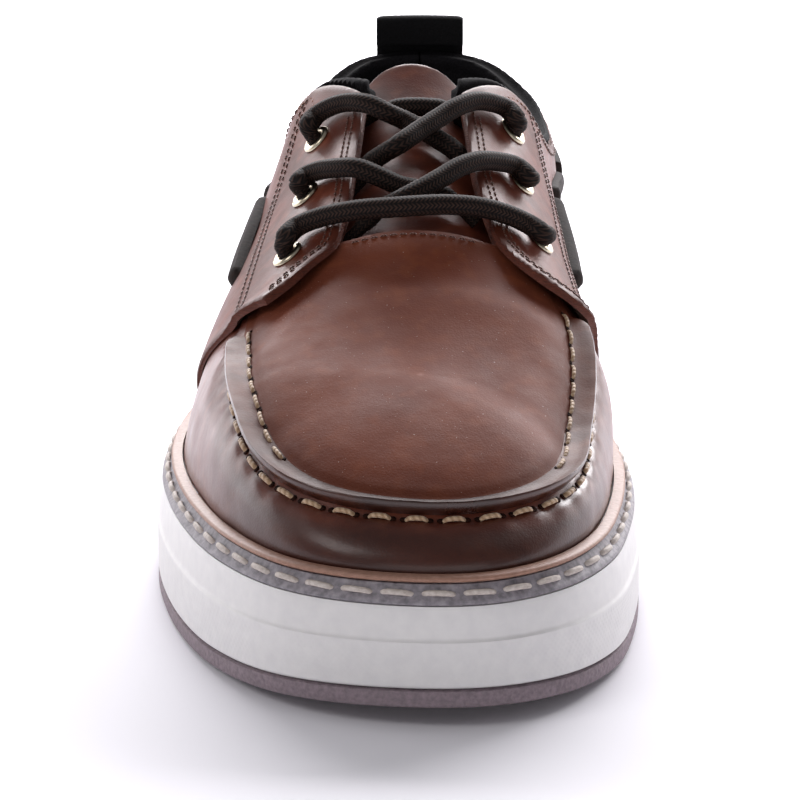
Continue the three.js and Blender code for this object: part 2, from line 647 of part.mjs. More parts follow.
function tongue() {
  const deep = -LEATHER - GAP;
  const press = (y) => THREE.MathUtils.smoothstep(y, -0.15 * SOLE_LENGTH, -0.11 * SOLE_LENGTH) * TONGUE_SINK;
  const shell = form((y) => deep - press(y)).subtract(form((y) => deep - TONGUE - press(y)));
  const half = TONGUE_OUTLINE.map((row) => [row.across * TONGUE_HALF_WIDTH, row.at * SOLE_LENGTH]);
  const middle = crestAcross(0);
  const outlinePoints = [
    ...half.map(([x, y]) => [middle + x, y]),
    ...half.map(([x, y]) => [middle - x, y]).reverse(),
  ];
  const above = stack([
    { out: 0, height: (y) => featherHeight(y) + TONGUE_FOOT * INSTEP_RISE },
    { out: 0, height: (y) => featherHeight(y) + FAR },
  ]);
  return shell.intersect(fromAbove(outlinePoints)).intersect(above);
}

// Raised seam round the toe, along the last's shoulder from flap corner to flap corner
function toeRidge() {
  const seat = 1.5 * GAP;
  const profile = [
    [-0.5, seat], [-0.48, 0.6 * RIDGE_HEIGHT], [-0.22, RIDGE_HEIGHT], [0.15, 0.92 * RIDGE_HEIGHT],
    [0.45, 0.5 * RIDGE_HEIGHT], [0.5, seat],
  ];
  const endAt = (side) => Math.min(FLAPS[side][0].at, FLAPS[side][1].at) * SOLE_LENGTH - RIDGE_END_GAP;
  const start = stationAt(endAt('lateral'), -1);
  const end = stationAt(endAt('medial'), 1) - STATIONS;
  const count = 24;
  const rings = Array.from({ length: count + 1 }, (_, step) => {
    const k = THREE.MathUtils.lerp(start, end, step / count);
    const { lean, span } = section(station(k));
    return profile.map(([across, height]) => {
      const speed = 3 * (across < 0 ? WALL_LEAN * lean : TOP_LEAN * span);
      return offLast(k, 1 + (across * RIDGE_WIDTH) / speed, height);
    });
  });
  const walls = rings.slice(1).flatMap((ring, k) => ringPair(rings[k], ring));
  return solidOf([rings[0].slice().reverse(), ...walls, rings[count]]);
}

function eyelet(row) {
  const seat = OVERLAY + SEAT;
  const barrel = EYELET_BORE + EYELET_WALL;
  const foot = 2 * GAP - LEATHER;
  const profile = [
    [EYELET_BORE, foot], [barrel, foot], [barrel, seat], [EYELET_OUTER, seat],
    [EYELET_OUTER - 0.5, seat + EYELET_FLANGE], [EYELET_BORE, seat + EYELET_FLANGE], [EYELET_BORE, foot],
  ].map(([r, z]) => new THREE.Vector2(r, z));
  const ring = new THREE.LatheGeometry(profile, EYELET_SIDES).rotateX(Math.PI / 2);
  return solidFrom(placed(ring, eyeletFrame(row)));
}

const LACE_SIDES = 8;
function cord(rows) {
  const path = new THREE.CatmullRomCurve3(rows.map((row) => (
    overTop(row.across * BALL_WIDTH, row.at * SOLE_LENGTH, row.lift * OVER_FLAP).point
  )), false, 'centripetal');
  const circle = Array.from({ length: LACE_SIDES }, (_, k) => {
    const angle = (2 * Math.PI * (k + 0.5)) / LACE_SIDES;
    return new THREE.Vector2(LACE_RADIUS * Math.cos(angle), LACE_RADIUS * Math.sin(angle));
  });
  const steps = Math.ceil(path.getLength() / (2 * LACE_RADIUS));
  return solidFrom(new THREE.ExtrudeGeometry(new THREE.Shape(circle), {
    steps, bevelEnabled: false, extrudePath: path,
  }));
}
const laceOf = (routes) => routes.map(cord).reduce((all, one) => all.add(one));

// One stretch of the flat side lace, bowed off the quarter
function thong(row, side) {
  const count = 6;
  const base = OVERLAY + SEAT + THONG_THICKNESS / 2;
  const rings = Array.from({ length: count + 1 }, (_, step) => {
    const t = step / count;
    const y = THREE.MathUtils.lerp(row.start, row.end, t) * SOLE_LENGTH;
    const z = featherHeight(y) + THREE.MathUtils.lerp(row.start_rise, row.end_rise, t) * INSTEP_RISE;
    const bow = (side < 0 ? row.bow : row.bow / 4) * Math.sin(Math.PI * t);
    const { point, normal } = onSide(y, side, z, base + bow);
    const rise = new THREE.Vector3(0, row.end - row.start, 0).cross(normal).normalize();
    return [[-0.5, -0.5], [0.5, -0.5], [0.5, 0.2], [0.3, 0.5], [-0.3, 0.5], [-0.5, 0.2]].map(([a, b]) => (
      point.clone().addScaledVector(rise, a * THONG_WIDTH).addScaledVector(normal, b * THONG_THICKNESS)));
  });
  const walls = rings.slice(1).flatMap((ring, k) => ringPair(rings[k], ring));
  return solidOf([rings[0].slice().reverse(), ...walls, rings[count]]);
}

// How far the back of the heel curves away from its middle, at a distance across
function heelRound(x) {
  const share = 0.9;
  let a = HALF - HEEL_FAN_STEPS;
  let b = HALF + HEEL_FAN_STEPS;
  for (let step = 0; step < 30; step += 1) {
    const middle = (a + b) / 2;
    if (lastPoint(middle, share).x < x) a = middle;
    else b = middle;
  }
  return lastPoint(HALF, share).y - lastPoint(a, share).y;
}

// Loop of webbing over the heel: its inner leg ends at the collar, its outer leg runs down the quarter
function pullTab() {
  const top = topline(toplineEnd);
  const backAt = (z, lift) => {
    const share = solveShare(HALF, 0, 1.6, (point) => point.z - z);
    return offLast(HALF, share, lift);
  };
  const outerLift = OVERLAY + SEAT;
  const collar = backAt(top, 0);
  const inner = [];
  const outer = [];
  const tailCount = 4;
  for (let k = 0; k <= tailCount; k += 1) {
    const z = top - TAB_TAIL * (1 - k / tailCount);
    inner.push([backAt(z, outerLift).y, z]);
    outer.push([backAt(z, outerLift + WEBBING).y, z]);
  }
  const back = collar.y + outerLift;
  const front = collar.y - LEATHER + 0.2;
  const middle = (back + front) / 2;
  const half = (back - front) / 2;
  const lift = top + TAB_RISE - half - WEBBING;
  for (let k = 0; k <= 6; k += 1) {
    const angle = (k / 6) * Math.PI;
    inner.push([middle + half * Math.cos(angle), lift + half * Math.sin(angle)]);
    outer.push([middle + (half + WEBBING) * Math.cos(angle), lift + (half + WEBBING) * Math.sin(angle)]);
  }
  const foot = top + LINING_PROUD + GAP;
  inner.push([front, foot]);
  outer.push([front - WEBBING, foot]);
  const shape = new THREE.Shape([...inner, ...outer.reverse()].map(([y, z]) => new THREE.Vector2(y, z)));
  const strip = new THREE.ExtrudeGeometry(shape, { depth: TAB_WIDTH, steps: 6, bevelEnabled: false });
  strip.applyMatrix4(new THREE.Matrix4().set(0, 0, 1, -TAB_WIDTH / 2, 1, 0, 0, 0, 0, 1, 0, 0, 0, 0, 0, 1));
  const points = strip.attributes.position;
  for (let k = 0; k < points.count; k += 1) {
    points.setY(k, points.getY(k) - heelRound(points.getX(k)));
  }
  return solidFrom(strip);
}

const material = (color, roughness, metalness = 0) =>
  new THREE.MeshStandardMaterial({ color, roughness, metalness, flatShading: true });
const brownLeather = material(0x6b3a28, 0.38);
const seamLeather = material(0x4f2a1a, 0.4);
const whiteRubber = material(0xe6e3e4, 0.6);
const greyRubber = material(0xb5aeb0, 0.6);
const tanWelt = material(0x9a7c66, 0.55);
const treadRubber = material(0x8b7c7c, 0.8);
const blackLining = material(0x1c1a1c, 0.85);
const nickel = material(0xc9c4ba, 0.3, 0.9);
const laceBrown = material(0x2e2422, 0.8);
const webbing = material(0x151416, 0.8);
const suede = material(0x8f7460, 0.85);

const shoe = new THREE.Group();
const add = (name, solid, finish) => {
  const mesh = new THREE.Mesh(geometryOf(solid), finish);
  mesh.name = name;
  shoe.add(mesh);
};

add('outsole', outsole(), treadRubber);
add('midsole', midsole(), whiteRubber);
add('welt', welt(), greyRubber);
add('rand', rand(), tanWelt);
add('insole', insole(), suede);
add('upper', upper(), brownLeather);
add('quarter_lateral', quarter('lateral'), brownLeather);
add('quarter_medial', quarter('medial'), brownLeather);
add('toe_ridge', toeRidge(), seamLeather);
add('tongue', tongue(), brownLeather);
add('collar_lining', collarLining(), blackLining);
add('pull_tab', pullTab(), webbing);
for (const row of EYELETS) add(`eyelet_${row.side}_${row.row}`, eyelet(row), nickel);
for (const [name, routes] of Object.entries(LACES)) add(name, laceOf(routes), laceBrown);
THONGS.forEach((row, k) => {
  add(`side_lace_lateral_${k + 1}`, thong(row, -1), seamLeather);
  add(`side_lace_medial_${k + 1}`, thong(row, 1), seamLeather);
});

// The origin is under the middle of the whole shoe, on the floor
const box = new THREE.Box3().setFromObject(shoe);
shoe.position.set(-(box.min.x + box.max.x) / 2, -(box.min.y + box.max.y) / 2, -box.min.z);

export default shoe;
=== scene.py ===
# %% [markdown]
# # A right boat shoe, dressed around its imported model
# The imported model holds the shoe's real sizes: sole, last, flaps, laces. This script repeats the same
# few sizes and tables in numpy, at a finer grain, and makes from them what the eye sees: polished
# leather with cut edges, a hand-sewn toe seam, braided laces, a ribbed rubber wall with a stitched welt.
# Lengths are millimetres until a mesh is made, and metres after that.

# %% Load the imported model
import math

import bpy
import numpy as np
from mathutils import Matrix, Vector


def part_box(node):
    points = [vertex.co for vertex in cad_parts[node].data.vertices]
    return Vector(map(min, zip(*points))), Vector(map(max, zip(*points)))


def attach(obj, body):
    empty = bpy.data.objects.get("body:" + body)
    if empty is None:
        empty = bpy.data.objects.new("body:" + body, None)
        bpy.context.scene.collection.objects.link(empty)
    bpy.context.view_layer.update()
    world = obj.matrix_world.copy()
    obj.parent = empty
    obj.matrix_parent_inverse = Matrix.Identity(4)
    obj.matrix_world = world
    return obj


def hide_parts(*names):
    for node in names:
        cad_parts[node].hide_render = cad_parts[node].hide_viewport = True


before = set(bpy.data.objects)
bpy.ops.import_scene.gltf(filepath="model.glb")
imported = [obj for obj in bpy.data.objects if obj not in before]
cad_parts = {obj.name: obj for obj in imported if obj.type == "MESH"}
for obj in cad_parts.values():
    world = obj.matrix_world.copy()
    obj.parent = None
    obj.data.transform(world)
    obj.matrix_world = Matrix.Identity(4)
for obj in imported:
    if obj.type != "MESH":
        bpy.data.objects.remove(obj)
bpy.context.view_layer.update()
MM = 0.001
print("packed nodes:", len(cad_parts))

# %% [markdown]
# ## Sizes of the shoe
# A maker starts from the last: the length and ball width of the sole, the height of its wall, and the
# rise of the instep. The tables give shares of those four sizes, a row for each section.

# %% Driving sizes, in millimetres
SOLE_LENGTH, BALL_WIDTH, SOLE_HEIGHT, INSTEP_RISE = 306.0, 112.0, 24.0, 69.0
TOE_SPRING, OUTSOLE_THICKNESS, FEATHER_INSET, WELT_RISE = 4.2, 3.6, 6.2, 5.2
WALL_DRAFT, WALL_STEP, LEATHER, OVERLAY, GAP, SEAT = 1.2, 0.6, 2.0, 1.5, 0.3, 0.86
LINING, LINING_DEPTH, LINING_PROUD, FOOTBED = 3.0, 20.0, 1.5, 4.0
TONGUE, TONGUE_SINK, TONGUE_HALF_WIDTH = 2.0, 3.3, 25.0
LACE_RADIUS, EYELET_BORE = 2.45, 2.1
OVER_FLAP = OVERLAY + GAP + LACE_RADIUS + 0.5
THONG_WIDTH, THONG_THICKNESS = 5.0, 2.2
TAB_WIDTH, TAB_RISE, TAB_TAIL, WEBBING = 25.0, 10.0, 20.0, 1.4

# %% Tables: shares of the sizes above
OUTLINE = np.array([
    (0.045, -0.5), (-0.122, -0.489), (-0.25, -0.46), (-0.365, -0.4), (-0.455, -0.315), (-0.52, -0.205),
    (-0.532, -0.11), (-0.497, 0.01), (-0.445, 0.14), (-0.402, 0.28), (-0.35, 0.4), (-0.215, 0.475),
    (0, 0.5), (0.215, 0.475), (0.345, 0.4), (0.375, 0.28), (0.362, 0.14), (0.395, 0),
    (0.433, -0.11), (0.446, -0.205), (0.422, -0.31), (0.368, -0.398), (0.275, -0.458), (0.16, -0.491),
])
# at, tread, top of the wall, floor of the cup
SOLE_ROWS = np.array([
    (-0.5, 1, 1.017, 0.58), (-0.42, 0.43, 1.003, 0.53), (-0.33, 0.1, 1, 0.51), (-0.25, 0, 1, 0.5),
    (0, 0, 1.042, 0.55), (0.2, 0, 1.125, 0.7), (0.42, 0, 1.26, 0.85), (0.5, 0.36, 1.31, 0.87),
])
# at, crest, shoulder little toe's side, big toe's side, inset twice, swell twice, roll in degrees
LAST_ROWS = np.array([
    (-0.5, 0.37, 0.129, 0.129, 0.126, 0.126, 0.003, 0.003, 24),
    (-0.42, 0.375, 0.19, 0.157, 0.065, 0.057, 0.003, 0.003, 32),
    (-0.3, 0.39, 0.322, 0.238, 0.083, 0.06, -0.004, 0, 42),
    (-0.2, 0.563, 0.399, 0.417, 0.117, 0.07, -0.016, -0.004, 46),
    (-0.13, 0.719, 0.457, 0.522, 0.138, 0.103, -0.025, -0.009, 48),
    (-0.05, 0.864, 0.558, 0.638, 0.143, 0.107, -0.025, -0.009, 50),
    (0.04, 1.007, 0.667, 0.754, 0.134, 0.085, -0.018, 0, 58),
    (0.12, 1.217, 0.746, 0.797, 0.094, 0.049, -0.009, 0.004, 70),
    (0.2, 1.42, 0.754, 0.775, 0.08, 0.027, 0, 0.009, 80),
    (0.3, 1.61, 0.754, 0.754, 0.058, 0.013, 0.018, 0.018, 82),
    (0.42, 1.63, 0.797, 0.797, 0.045, 0.027, 0.022, 0.022, 82),
    (0.5, 1.62, 0.84, 0.84, 0.054, 0.054, 0.031, 0.031, 80),
])
CREST_SHIFT = np.array([(-0.5, 0.027), (-0.3, 0.009), (-0.1, -0.009), (0.1, -0.018), (0.5, 0)])
TOPLINE = np.array([
    (0.041, 0.985), (0.065, 1.018), (0.092, 1.022), (0.111, 1.0), (0.131, 0.945), (0.157, 0.84),
    (0.196, 0.748), (0.261, 0.68), (0.327, 0.683), (0.392, 0.75), (0.451, 0.85), (0.505, 0.9),
])
FLAPS = {
    "lateral": np.array([
        (-0.362, -0.183), (-0.308, -0.192), (-0.25, -0.182), (-0.204, -0.163), (-0.163, -0.145),
        (-0.148, -0.118), (-0.136, -0.085), (-0.127, -0.031), (-0.118, 0.016), (-0.109, 0.06),
    ]),
    "medial": np.array([
        (0.346, -0.163), (0.296, -0.175), (0.247, -0.175), (0.196, -0.162), (0.161, -0.135),
        (0.143, -0.106), (0.129, -0.082), (0.109, -0.028), (0.1, 0.02), (0.088, 0.06),
    ]),
}
THROAT_AT, THROAT_BOW, FLAP_LEDGE = -0.134, 0.011, 1.0
QUARTER_FRONT = np.array([(-0.2, 0.5), (-0.183, 0.47), (-0.046, 0.02)])
TONGUE_OUTLINE = np.array([
    (0.84, -0.2), (0.96, -0.08), (1, 0.04), (0.95, 0.068), (0.77, 0.087), (0.48, 0.099), (0.2, 0.103),
])
TOE_CENTRE, HEEL_CENTRE = -0.3 * SOLE_LENGTH, 0.36 * SOLE_LENGTH
SIDE = {"lateral": -1.0, "medial": 1.0}
print("sections of the last:", len(LAST_ROWS))

# %% [markdown]
# ## Smooth lines
# Two kinds of line turn the tables into curves. Along the shoe a height is a cubic whose slope at each
# row is a mean of its two neighbours. Seen from above an outline is a curve through its points.


# %% Lines through tables and points
def along(rows, column, size):
    """Cubic through a table's column: at each row the slope is the mean of both sides, weighted by
    distance."""
    x, v = rows[:, 0] * SOLE_LENGTH, rows[:, column] * size
    step, rise = np.diff(x), np.diff(v) / np.diff(x)
    mean = (rise[:-1] * step[1:] + rise[1:] * step[:-1]) / (step[1:] + step[:-1])
    slope = np.concatenate([rise[:1], mean, rise[-1:]])

    def read(place):
        y = np.clip(place, x[0], x[-1])
        k = np.clip(np.searchsorted(x, y, side="right") - 1, 0, len(step) - 1)
        t = (y - x[k]) / step[k]
        s = 1 - t
        return (s * s * (1 + 2 * t) * v[k] + s * s * t * step[k] * slope[k]
                + t * t * (3 - 2 * t) * v[k + 1] - t * t * s * step[k] * slope[k + 1])

    return read


def smooth_line(points, steps, closed=False):
    """Centripetal curve through points: each span is a cubic whose end slopes use square roots of
    distances."""
    p = np.asarray(points, float)
    ring = np.vstack([p[-1:], p, p[:2]]) if closed else np.vstack([2 * p[0] - p[1], p, 2 * p[-1] - p[-2]])
    a, b, c, d = ring[:-3], ring[1:-2], ring[2:-1], ring[3:]
    ab, bc, cd = (np.sqrt(np.linalg.norm(v - u, axis=1))[:, None] for u, v in ((a, b), (b, c), (c, d)))
    start = ((b - a) / ab - (c - a) / (ab + bc) + (c - b) / bc) * bc
    end = ((c - b) / bc - (d - b) / (bc + cd) + (d - c) / cd) * bc
    t = np.linspace(0, 1, steps, endpoint=False)[None, :, None]
    b, c, start, end = b[:, None], c[:, None], start[:, None], end[:, None]
    line = ((2 * t**3 - 3 * t**2 + 1) * b + (t**3 - 2 * t**2 + t) * start
            + (3 * t**2 - 2 * t**3) * c + (t**3 - t**2) * end).reshape(-1, p.shape[1])
    return line if closed else np.vstack([line, p[-1:]])


def ease(value, low, high):
    """Soft step: 0 below low, 1 above high, a cubic between."""
    t = np.clip((value - low) / (high - low), 0, 1)
    return t * t * (3 - 2 * t)


def unit(vectors):
    """Vectors divided by their own length."""
    return vectors / np.maximum(np.linalg.norm(vectors, axis=-1, keepdims=True), 1e-9)


tread_lift = along(SOLE_ROWS, 1, TOE_SPRING)
wall_top, cup_floor = along(SOLE_ROWS, 2, SOLE_HEIGHT), along(SOLE_ROWS, 3, SOLE_HEIGHT)
crest_rise, crest_across = along(LAST_ROWS, 1, INSTEP_RISE), along(CREST_SHIFT, 1, BALL_WIDTH)
shoulder = along(LAST_ROWS, 2, INSTEP_RISE), along(LAST_ROWS, 3, INSTEP_RISE)
inset = along(LAST_ROWS, 4, BALL_WIDTH), along(LAST_ROWS, 5, BALL_WIDTH)
swell = along(LAST_ROWS, 6, BALL_WIDTH), along(LAST_ROWS, 7, BALL_WIDTH)
roll, topline_rise = along(LAST_ROWS, 8, math.pi / 180), along(TOPLINE, 1, INSTEP_RISE)


def tread(y):
    """The tread's height: its table, never below the floor."""
    return np.maximum(tread_lift(y), 0)


def feather_height(y):
    """Where the upper meets the welt: the wall's top plus the welt's rise."""
    return wall_top(y) + WELT_RISE


def crest_height(y):
    """The feather's height plus the crest's rise."""
    return feather_height(y) + crest_rise(y)


def topline(y):
    """The feather's height plus the collar's rise."""
    return feather_height(y) + topline_rise(y)


# %% [markdown]
# ## The last
# Rays leave the shoe's middle line and meet the sole's outline: a fan at the toe, straight rays along
# the sides, a fan at the heel. On each ray the section is two cubic curves, the side wall (share 0 to 1)
# and the top (1 to 2). Every leather piece is cut from this one surface, as on a real last.

# %% Stations round the shoe
TOE_FAN, SIDES, HEEL_FAN = 6, 12, 5
HALF = TOE_FAN + SIDES + HEEL_FAN
STATIONS = 2 * HALF
outline = smooth_line(OUTLINE * (BALL_WIDTH, SOLE_LENGTH), 60, closed=True)
chord = np.roll(outline, -1, 0) - np.roll(outline, 1, 0)
outward = unit(np.stack([-chord[:, 1], chord[:, 0]], 1))
feather = outline - outward * FEATHER_INSET


def stations(k):
    """Where ray k starts and runs, and where it crosses the feather line: the nearest change of sign of
    the cross product of the ray with the line's points."""
    k = np.mod(k, STATIONS)
    side = np.where(k > HALF, 1.0, -1.0)
    half = np.where(k > HALF, STATIONS - k, k)
    toe = np.clip(half / TOE_FAN, 0, 1) * math.pi / 2
    heel = np.clip((half - TOE_FAN - SIDES) / HEEL_FAN, 0, 1) * math.pi / 2
    y = TOE_CENTRE + (HEEL_CENTRE - TOE_CENTRE) * np.clip((half - TOE_FAN) / SIDES, 0, 1)
    direction = np.stack([side * np.sin(toe) * np.cos(heel), np.sin(heel) - np.cos(toe)], 1)
    spine = np.stack([crest_across(y), y], 1)
    away = feather[None] - spine[:, None]
    cross = direction[:, :1] * away[..., 1] - direction[:, 1:] * away[..., 0]
    following = np.roll(cross, -1, 1)
    share = cross / np.where(cross == following, 1, cross - following)
    ahead = (away * direction[:, None]).sum(2)
    reach = ahead * (1 - share) + np.roll(ahead, -1, 1) * share
    hit = np.where((cross * following <= 0) & (reach > 0) & (cross != following), reach, 1e9)
    j = hit.argmin(1)
    rows = np.arange(len(k))
    f = share[rows, j][:, None]
    nxt = (j + 1) % len(feather)
    medial = np.clip(0.5 + 0.5 * np.sign(direction[:, 0]) * np.abs(direction[:, 0]) ** 0.7, 0, 1)
    return {"spine": spine, "direction": direction, "medial": medial, "reach": hit[rows, j],
            "foot": feather[j] * (1 - f) + feather[nxt] * f,
            "out": unit(outward[j] * (1 - f) + outward[nxt] * f)}


def cubic(a, b, c, d, t):
    """Curve through a and d, pulled towards b and c: weights s^3, 3 s^2 t, 3 s t^2, t^3 with s = 1 - t."""
    s = 1 - t
    return s**3 * a[:, None] + 3 * s * s * t * b[:, None] + 3 * s * t * t * c[:, None] + t**3 * d[:, None]


# %% The last's surface as a fine grid
WALL_LEAN, TOP_LEAN, CREST_FLAT = 0.42, 0.3, 0.38
PER_STATION, ROWS = 40, 240
COLUMNS = STATIONS * PER_STATION


def last_surface():
    """Distance from the middle line and height, each a cubic in the share: from the feather up to the
    shoulder with the wall's lean, then over to the crest, which runs level across."""
    at = stations(np.arange(COLUMNS) / PER_STATION)
    y, spine_y, medial = at["foot"][:, 1], at["spine"][:, 1], at["medial"]
    rise, depth, bulge = (
        little(y) * (1 - medial) + big(y) * medial for little, big in (shoulder, inset, swell))
    low, crest = feather_height(y), crest_height(spine_y)
    slope = (crest_height(spine_y + 1) - crest_height(spine_y - 1)) / 2
    run = slope * at["direction"][:, 1]
    corner_r, corner_z = at["reach"] - depth, low + rise
    lean, span = np.hypot(depth, rise), np.hypot(corner_r, crest - corner_z)
    across, up = -np.cos(roll(y)), np.sin(roll(y))
    t = np.linspace(0, 1, ROWS // 2 + 1)[None]
    wall_r = cubic(at["reach"], at["reach"] + bulge, corner_r - across * WALL_LEAN * lean, corner_r, t)
    wall_z = cubic(low, low + 0.45 * rise, corner_z - up * WALL_LEAN * lean, corner_z, t)
    flat = CREST_FLAT * span
    top_r = cubic(corner_r, corner_r + across * TOP_LEAN * span, flat / np.hypot(1, run), 0 * flat, t)
    top_z = cubic(corner_z, corner_z + up * TOP_LEAN * span, crest + run * flat / np.hypot(1, run), crest, t)
    r = np.hstack([wall_r, top_r[:, 1:]])[..., None]
    z = np.hstack([wall_z, top_z[:, 1:]])[..., None]
    surface = np.concatenate([at["spine"][:, None] + at["direction"][:, None] * r, z], 2)
    return surface, slope


def soften_round(surface, width):
    """Bell-shaped mean along the stations, so that the fans meet the straight rays without a crease."""
    reach = int(3 * width)
    bell = np.exp(-0.5 * (np.arange(-reach, reach + 1) / width) ** 2)
    bell /= bell.sum()
    soft = sum(weight * np.roll(surface, shift, 0) for weight, shift in zip(bell, range(-reach, reach + 1)))
    keep = ease(np.linspace(0, 2, surface.shape[1]), 1.6, 2.0)[None, :, None]
    return soft * (1 - keep) + surface * keep


LAST, crest_slope = last_surface()
LAST = soften_round(LAST, 10)


def last_normals(surface, slope):
    """Cross product of the steps up and round the surface; on the crest line it only leans along the shoe."""
    round_step = np.roll(surface, -5, 0) - np.roll(surface, 5, 0)
    up_step = np.gradient(surface, axis=1)
    normal = unit(np.cross(up_step, round_step))
    crest = unit(np.stack([0 * slope, -slope, 1 + 0 * slope], 1))[:, None]
    share = np.linspace(0, 2, surface.shape[1])
    last_good = normal[:, np.searchsorted(share, 1.9)][:, None]
    blend = ease(share, 1.9, 2.0)[None, :, None]
    return unit(np.where(share[None, :, None] > 1.9, last_good * (1 - blend) + crest * blend, normal))


NORMALS = last_normals(LAST, crest_slope)


def read_grid(grid, k, share):
    """Straight-line reading between the four grid points round a place."""
    a, b = np.mod(k, STATIONS) * PER_STATION, np.clip(share, 0, 2) * (ROWS / 2)
    a0, b0 = np.floor(a).astype(int), np.minimum(np.floor(b).astype(int), ROWS - 1)
    fa, fb = (a - a0)[..., None], (b - b0)[..., None]
    a0, a1 = a0 % COLUMNS, (a0 + 1) % COLUMNS
    return ((grid[a0, b0] * (1 - fa) + grid[a1, b0] * fa) * (1 - fb)
            + (grid[a0, b0 + 1] * (1 - fa) + grid[a1, b0 + 1] * fa) * fb)


def on_last(k, share):
    """Point of the last and its outward direction at a station and a share."""
    return read_grid(LAST, k, share), unit(read_grid(NORMALS, k, share))


def station_at(y, side):
    """On the straight rays the station grows evenly with y; the medial side counts backwards."""
    k = TOE_FAN + (y - TOE_CENTRE) / (HEEL_CENTRE - TOE_CENTRE) * SIDES
    return np.where(side < 0, k, STATIONS - k)


def find_share(k, low, high, measure):
    """Halves the span of shares until the measure of the point changes sign; the measure falls with the
    share."""
    a, b = np.full(np.shape(k), low), np.full(np.shape(k), high)
    for _ in range(24):
        middle = (a + b) / 2
        above = measure(read_grid(LAST, k, middle)) > 0
        a, b = np.where(above, middle, a), np.where(above, b, middle)
    return (a + b) / 2


def over_top(x, y):
    """Place on the top of the last straight above or below a point seen from above."""
    spine = crest_across(y)
    k = station_at(y, np.where(x < spine, -1, 1))
    share = find_share(k, 0.5, 2.0, lambda point: np.abs(point[..., 0] - spine) - np.abs(x - spine))
    return on_last(k, share)


def on_side(y, side, z):
    """Place on the last's side at a length y and a height z."""
    k = station_at(y, side)
    share = find_share(k, 0.0, 1.4, lambda point: z - point[..., 2])
    return on_last(k, share)


print("last:", LAST.shape, "heights", LAST[..., 2].min().round(1), LAST[..., 2].max().round(1))

# %% [markdown]
# ## From arrays to pieces
# A piece is a closed mesh whose place is in its vertices, in metres, while its object stays at the
# origin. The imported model's own place gives the shift from the last's frame.

# %% Making a piece
base_low, base_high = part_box("outsole")
SHIFT = np.array([
    (base_low[0] + base_high[0]) / 2 / MM - (outline[:, 0].min() + outline[:, 0].max()) / 2,
    (base_low[1] + base_high[1]) / 2 / MM - (outline[:, 1].min() + outline[:, 1].max()) / 2,
    base_low[2] / MM,
])
made_triangles = {}


def signed_volume(points, faces):
    """Sum over all faces of the box product of their corners, fanned from the first corner."""
    total = 0.0
    for k in range(2, faces.shape[1]):
        a, b, c = points[faces[:, 0]], points[faces[:, k - 1]], points[faces[:, k]]
        total += np.einsum("ij,ij->", a, np.cross(b, c))
    return total


def piece(name, points, faces, finishes, slot, nodes=(), sharp=40, uv=None, finish_index=None, values=None):
    """Puts arrays into a mesh with its faces outward, smooth but for edges sharper than the angle given."""
    faces = np.asarray(faces)
    if signed_volume(points, faces) < 0:
        faces = faces[:, ::-1]
        uv = None if uv is None else uv[:, ::-1]
    mesh = bpy.data.meshes.new(name)
    mesh.from_pydata((points + SHIFT) * MM, [], faces)
    if uv is not None:
        layer = mesh.uv_layers.new(name="pattern")
        layer.data.foreach_set("uv", np.ascontiguousarray(uv, np.float32).ravel())
    for key, value in (values or {}).items():
        mesh.attributes.new(key, "FLOAT", "POINT").data.foreach_set("value", np.asarray(value, np.float32))
    finishes = finishes if isinstance(finishes, (list, tuple)) else [finishes]
    for finish in finishes:
        mesh.materials.append(finish)
    if finish_index is not None:
        mesh.polygons.foreach_set("material_index", np.asarray(finish_index, np.int32))
    mesh.shade_smooth()
    if sharp:
        mesh.set_sharp_from_angle(angle=math.radians(sharp))
    mesh.update()
    made = bpy.data.objects.new(name, mesh)
    bpy.context.scene.collection.objects.link(made)
    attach(made, "root")
    if nodes:
        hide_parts(*nodes)
    made_triangles[name] = len(faces) * (faces.shape[1] - 2)


def grid_faces(rows, columns, closed_rows=False, closed_columns=False):
    """Quads of a grid of points, and each corner's row and column before it wraps round."""
    steps = np.arange(rows - (not closed_rows)), np.arange(columns - (not closed_columns))
    i, j = np.meshgrid(*steps, indexing="ij")
    corners = np.stack([np.stack([i, i + 1, i + 1, i], -1), np.stack([j, j, j + 1, j + 1], -1)], -1)
    corners = corners.reshape(-1, 4, 2)
    return (corners[..., 0] % rows) * columns + corners[..., 1] % columns, corners


def triangles_of(quads):
    """Two triangles for each quad, without those that have no area because two corners are one point."""
    both = np.vstack([quads[:, [0, 1, 2]], quads[:, [0, 2, 3]]])
    a, b, c = both.T
    return both[(a != b) & (b != c) & (c != a)]


def tube(rings):
    """Skin of a row of equal rings; fans round the means of the first and last ring close the ends."""
    count, sides = rings.shape[:2]
    faces, _ = grid_faces(count, sides, closed_columns=True)
    points = np.vstack([rings.reshape(-1, 3), rings[0].mean(0), rings[-1].mean(0)])
    j = np.arange(sides)
    k, end = (j + 1) % sides, (count - 1) * sides
    first, last = np.full(sides, count * sides), np.full(sides, count * sides + 1)
    fans = np.vstack([np.stack([first, j, k], 1), np.stack([last, end + k, end + j], 1)])
    return points, np.vstack([triangles_of(faces), fans])


def sweep(path, across, up, profile):
    """A closed section carried along a path: each point is the path's point plus its two section lengths
    along the two directions given there."""
    return tube(path[:, None] + profile[..., :1] * across[:, None] + profile[..., 1:] * up[:, None])


# %% [markdown]
# ## Finishes
# Each finish starts from what the material really is. Patterns read Object coordinates in metres, so a
# grain of 0.8 mm is a scale of 1250, or they read attributes that the pieces carry with them.


# %% Nodes and colours
def colour(hexa):
    """sRGB hex to linear: a channel c is c / 12.92 below 0.04045, else ((c + 0.055) / 1.055) ^ 2.4."""
    c = np.array([int(hexa[k:k + 2], 16) / 255 for k in (0, 2, 4)])
    return (*np.where(c <= 0.04045, c / 12.92, ((c + 0.055) / 1.055) ** 2.4), 1.0)


